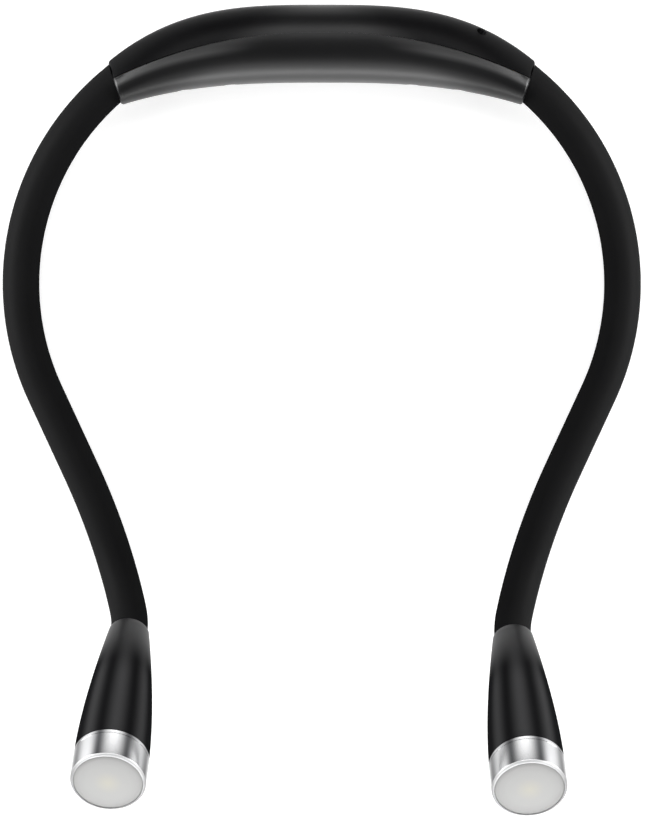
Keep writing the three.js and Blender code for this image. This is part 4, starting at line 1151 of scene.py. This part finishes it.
# Heat slug, LED and reflector. A grooved aluminium slug fills the bore and takes
# the heat of the LED board that lies on it. A white cup in front gathers its light.
mill_aluminium = metal("mill_aluminium", (0.74, 0.75, 0.77), 0.36)
white_moulding = grained("white_polycarbonate", (0.74, 0.74, 0.73), (0.8, 0.8, 0.79),
                         (0.25, 0.32), 3000, 0.01)
phosphor = grained("yellow_phosphor", (0.72, 0.55, 0.08), (0.8, 0.63, 0.12),
                   (0.4, 0.5), 6000, 0.01)
slug_radius = 9.9
slug_groove_radius = 9.0
slug_groove_start = 48.2
slug_groove_pitch = 2.2
wire_hole_offset = 5.6
slug_profile = [(0, 46.2), (9.6, 46.2), (slug_radius, 46.5)]
for groove in range(4):
    start = slug_groove_start + slug_groove_pitch * groove
    slug_profile += [(slug_radius, start), (slug_groove_radius, start + 0.15),
                     (slug_groove_radius, start + 0.95), (slug_radius, start + 1.1)]
slug_profile += [(slug_radius, 57.9), (9.6, 58.2), (0, 58.2)]
wire_hole_profile = [(0, 45), (1.75, 45), (1.75, 59), (0, 59)]
board_profile = [(0, 58.5), (9.75, 58.5), (9.9, 58.65), (9.9, 59.95), (9.75, 60.1), (0, 60.1)]
throat_radius, mouth_radius = 3.4, 9.3
cup_start, cup_depth, cup_steps = 60.4, 8.3, 16
cup_profile = [
    (throat_radius, cup_start), (4.3, cup_start), (9.0, 65.9), (9.9, 66.8), (11.05, 66.8),
    (11.2, 66.95), (11.2, 68.55), (11.05, 68.7), (mouth_radius, cup_start + cup_depth)]
for step in range(cup_steps - 1, 0, -1):
    share = step / cup_steps
    cup_profile.append((
        throat_radius + (mouth_radius - throat_radius) * share**0.75,
        cup_start + cup_depth * share))
for course in courses:
    slug = turn_profile(f"{course.side}_slug", slug_profile, 56)
    wire_hole = turn_profile("wire_hole", wire_hole_profile, 24)
    carve(slug, settle(wire_hole, Matrix.Translation((0, wire_hole_offset * mm, 0))))
    board = turn_profile(f"{course.side}_board", board_profile, 56)
    chip = rounded_bar(f"{course.side}_chip", width=4.2, height=4.2, corner=0.3, low=60.1, high=61)
    cup = turn_profile(f"{course.side}_cup", cup_profile, 56)
    fit_on_head(slug, course, mill_aluminium, "heat_slug")
    fit_on_head(board, course, white_moulding, "led_board")
    fit_on_head(chip, course, phosphor, "led_board")
    fit_on_head(cup, course, white_moulding, "reflector")


# Bezel. A turned and polished aluminium ring with one fine groove behind it.
# Its bore presses on the head's spigot and its front lip holds the lens.
def polished_aluminium():
    """Painted reflections: bright bands round the ring, brighter in front, and a paler
    lip in front as a painted highlight; also fine lathe marks.
    """
    material = start_material("polished_aluminium", (0.8, 0.81, 0.83), 0.2)
    tree = material.node_tree
    painted_bands, along, facing = painted_reflection_bands(tree)
    lip_start, lip_end = 71.6 * mm, 71.95 * mm

    def towards_lip(behind, on_lip):
        return remap(tree, along, lip_start, lip_end, behind, on_lip, "SMOOTHSTEP")

    # Painted reflections in the colour: dark and bright bands round the ring, brighter on the front
    # side, and a painted highlight on the front of the lip.
    painted_lit_side = remap(tree, facing, 0.7, 0.98, curve="SMOOTHSTEP")
    band_highlight = mix_colours(tree, painted_lit_side, (0.52, 0.523, 0.53, 1), (0.97, 0.973, 0.98, 1))
    lip_painted_light = remap(tree, facing, 0.1, 0.95, curve="SMOOTHSTEP")
    lip_highlight = mix_colours(tree, lip_painted_light, (0.28, 0.281, 0.284, 1), (0.7, 0.703, 0.71, 1))
    ring_painted_reflections = mix_colours(tree, painted_bands, (0.07, 0.071, 0.074, 1), band_highlight)
    height = add_node(tree, "CombineXYZ", {"Z": along}).outputs["Vector"]
    lathe = noise(tree, height, 9000)
    gloss = calculate(
        tree, "ADD", remap(tree, lathe, 0, 1, 0.14, 0.26), towards_lip(0, 0.3))
    feed(shader_of(material), {
        "Base Color": mix_colours(tree, towards_lip(0, 1), ring_painted_reflections, lip_highlight),
        "Metallic": towards_lip(1, 0.35), "Roughness": gloss,
        "Normal": bumps(tree, 0.12, 0.005 * mm, lathe)})
    return material


polished = polished_aluminium()
bezel_profile = [
    (11.8, 60.4), (12.35, 60.4), (12.5, 60.55), (12.5, 61.75), (12.43, 61.85), (12.43, 62.0),
    (12.5, 62.1), (12.5, 71.55), (12.47, 71.77), (12.38, 72.0), (12.24, 72.21), (12.02, 72.4),
    (11.8, 72.52), (11.58, 72.56), (11.5, 72.48), (11.5, 71.1), (11.8, 71.1)]
for course in courses:
    bezel = turn_profile(f"{course.side}_bezel", bezel_profile, 96)
    keep_straight(bezel)
    fit_on_head(bezel, course, polished, "bezel_ring")


# Lens. A frosted polycarbonate disc with a flange behind the bezel's lip. The
# LED that shows through it is painted in as a soft, faintly warm glow in the
# middle, and painted shade dims it towards the rim.
lens_radius = 11.46
lens_face = 72.44
lens_dome = 0.46
dome_radius = 11.2


def frosted_plastic():
    """A pale tone with a painted warm glow in the middle and painted shade towards
    the rim, over a fine frost.
    """
    material = start_material("frosted_lens", (0.46, 0.46, 0.455), 0.45)
    tree = material.node_tree
    own = straight_place(tree)
    flat = add_node(tree, "Mapping", {"Vector": own, "Scale": (1, 1, 0)}).outputs["Vector"]
    away = add_node(tree, "VectorMath", {0: flat}, operation="LENGTH").outputs["Value"]
    share = calculate(tree, "DIVIDE", away, lens_radius * mm)
    # Painted: a warm glow in the middle for the LED behind, and painted shade darker towards the
    # rim.
    stops = [(0, (0.337, 0.321, 0.274)), (0.42, (0.288, 0.288, 0.282))]
    for at, level in ((0.65, 0.28), (0.85, 0.255), (0.95, 0.225), (0.985, 0.19)):
        stops.append((at, (level, level, level * 0.985)))
    feed(shader_of(material), {
        "Base Color": colour_ramp(tree, share, stops),
        "Normal": bumps(tree, 0.2, 0.01 * mm, noise(tree, own, 6000))})
    return material


frosted = frosted_plastic()
lens_profile = [(0, 69.0), (11.5, 69.0), (lens_radius, 70.8), (lens_radius, 72.28),
                (11.4, 72.38), (11.25, lens_face)]
for share in evenly(7 / 8, 0, 7):
    lens_profile.append((dome_radius * share, lens_face + lens_dome * (1 - share**2)))
for course in courses:
    lens = turn_profile(f"{course.side}_frosted_lens", lens_profile, 96)
    keep_straight(lens)
    fit_on_head(lens, course, frosted, "lens")


# Button. A silicone key in a slot on the underside of each head presses a
# small switch behind it and springs back.
key_foot = 7.0
key_rise = 0.9
for course in courses:
    top = head_radius(button_station) + key_rise
    key = stadium(f"{course.side}_key", button_length, button_width, key_foot, top, rounding=0.5)
    settle(key, course.end() @ underside)
    fit(key, silicone, f"{course.side}_button", f"{course.side}_button", angle=40)


# Boards and leads. Those inside keep their solids from the model, each with
# the finish of the real part: green solder mask, and red or black insulation.
solder_mask = grained("green_solder_mask", (0.006, 0.055, 0.02), (0.01, 0.09, 0.035),
                      (0.22, 0.3), 2600, 0.02)
red_insulation = insulation("red_insulation", (0.42, 0.02, 0.015))
kept_nodes = {
    solder_mask: ["charge_board", "left_switch_board", "right_switch_board"],
    red_insulation: ["battery_lead_red"],
    black_insulation: ["battery_lead_black", "left_housing_lead", "right_housing_lead",
                       "left_head_lead", "right_head_lead"]}
for material, nodes in kept_nodes.items():
    for node in nodes:
        coat(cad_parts[node], material)


# Last, the selection is cleared.
clear_selection()
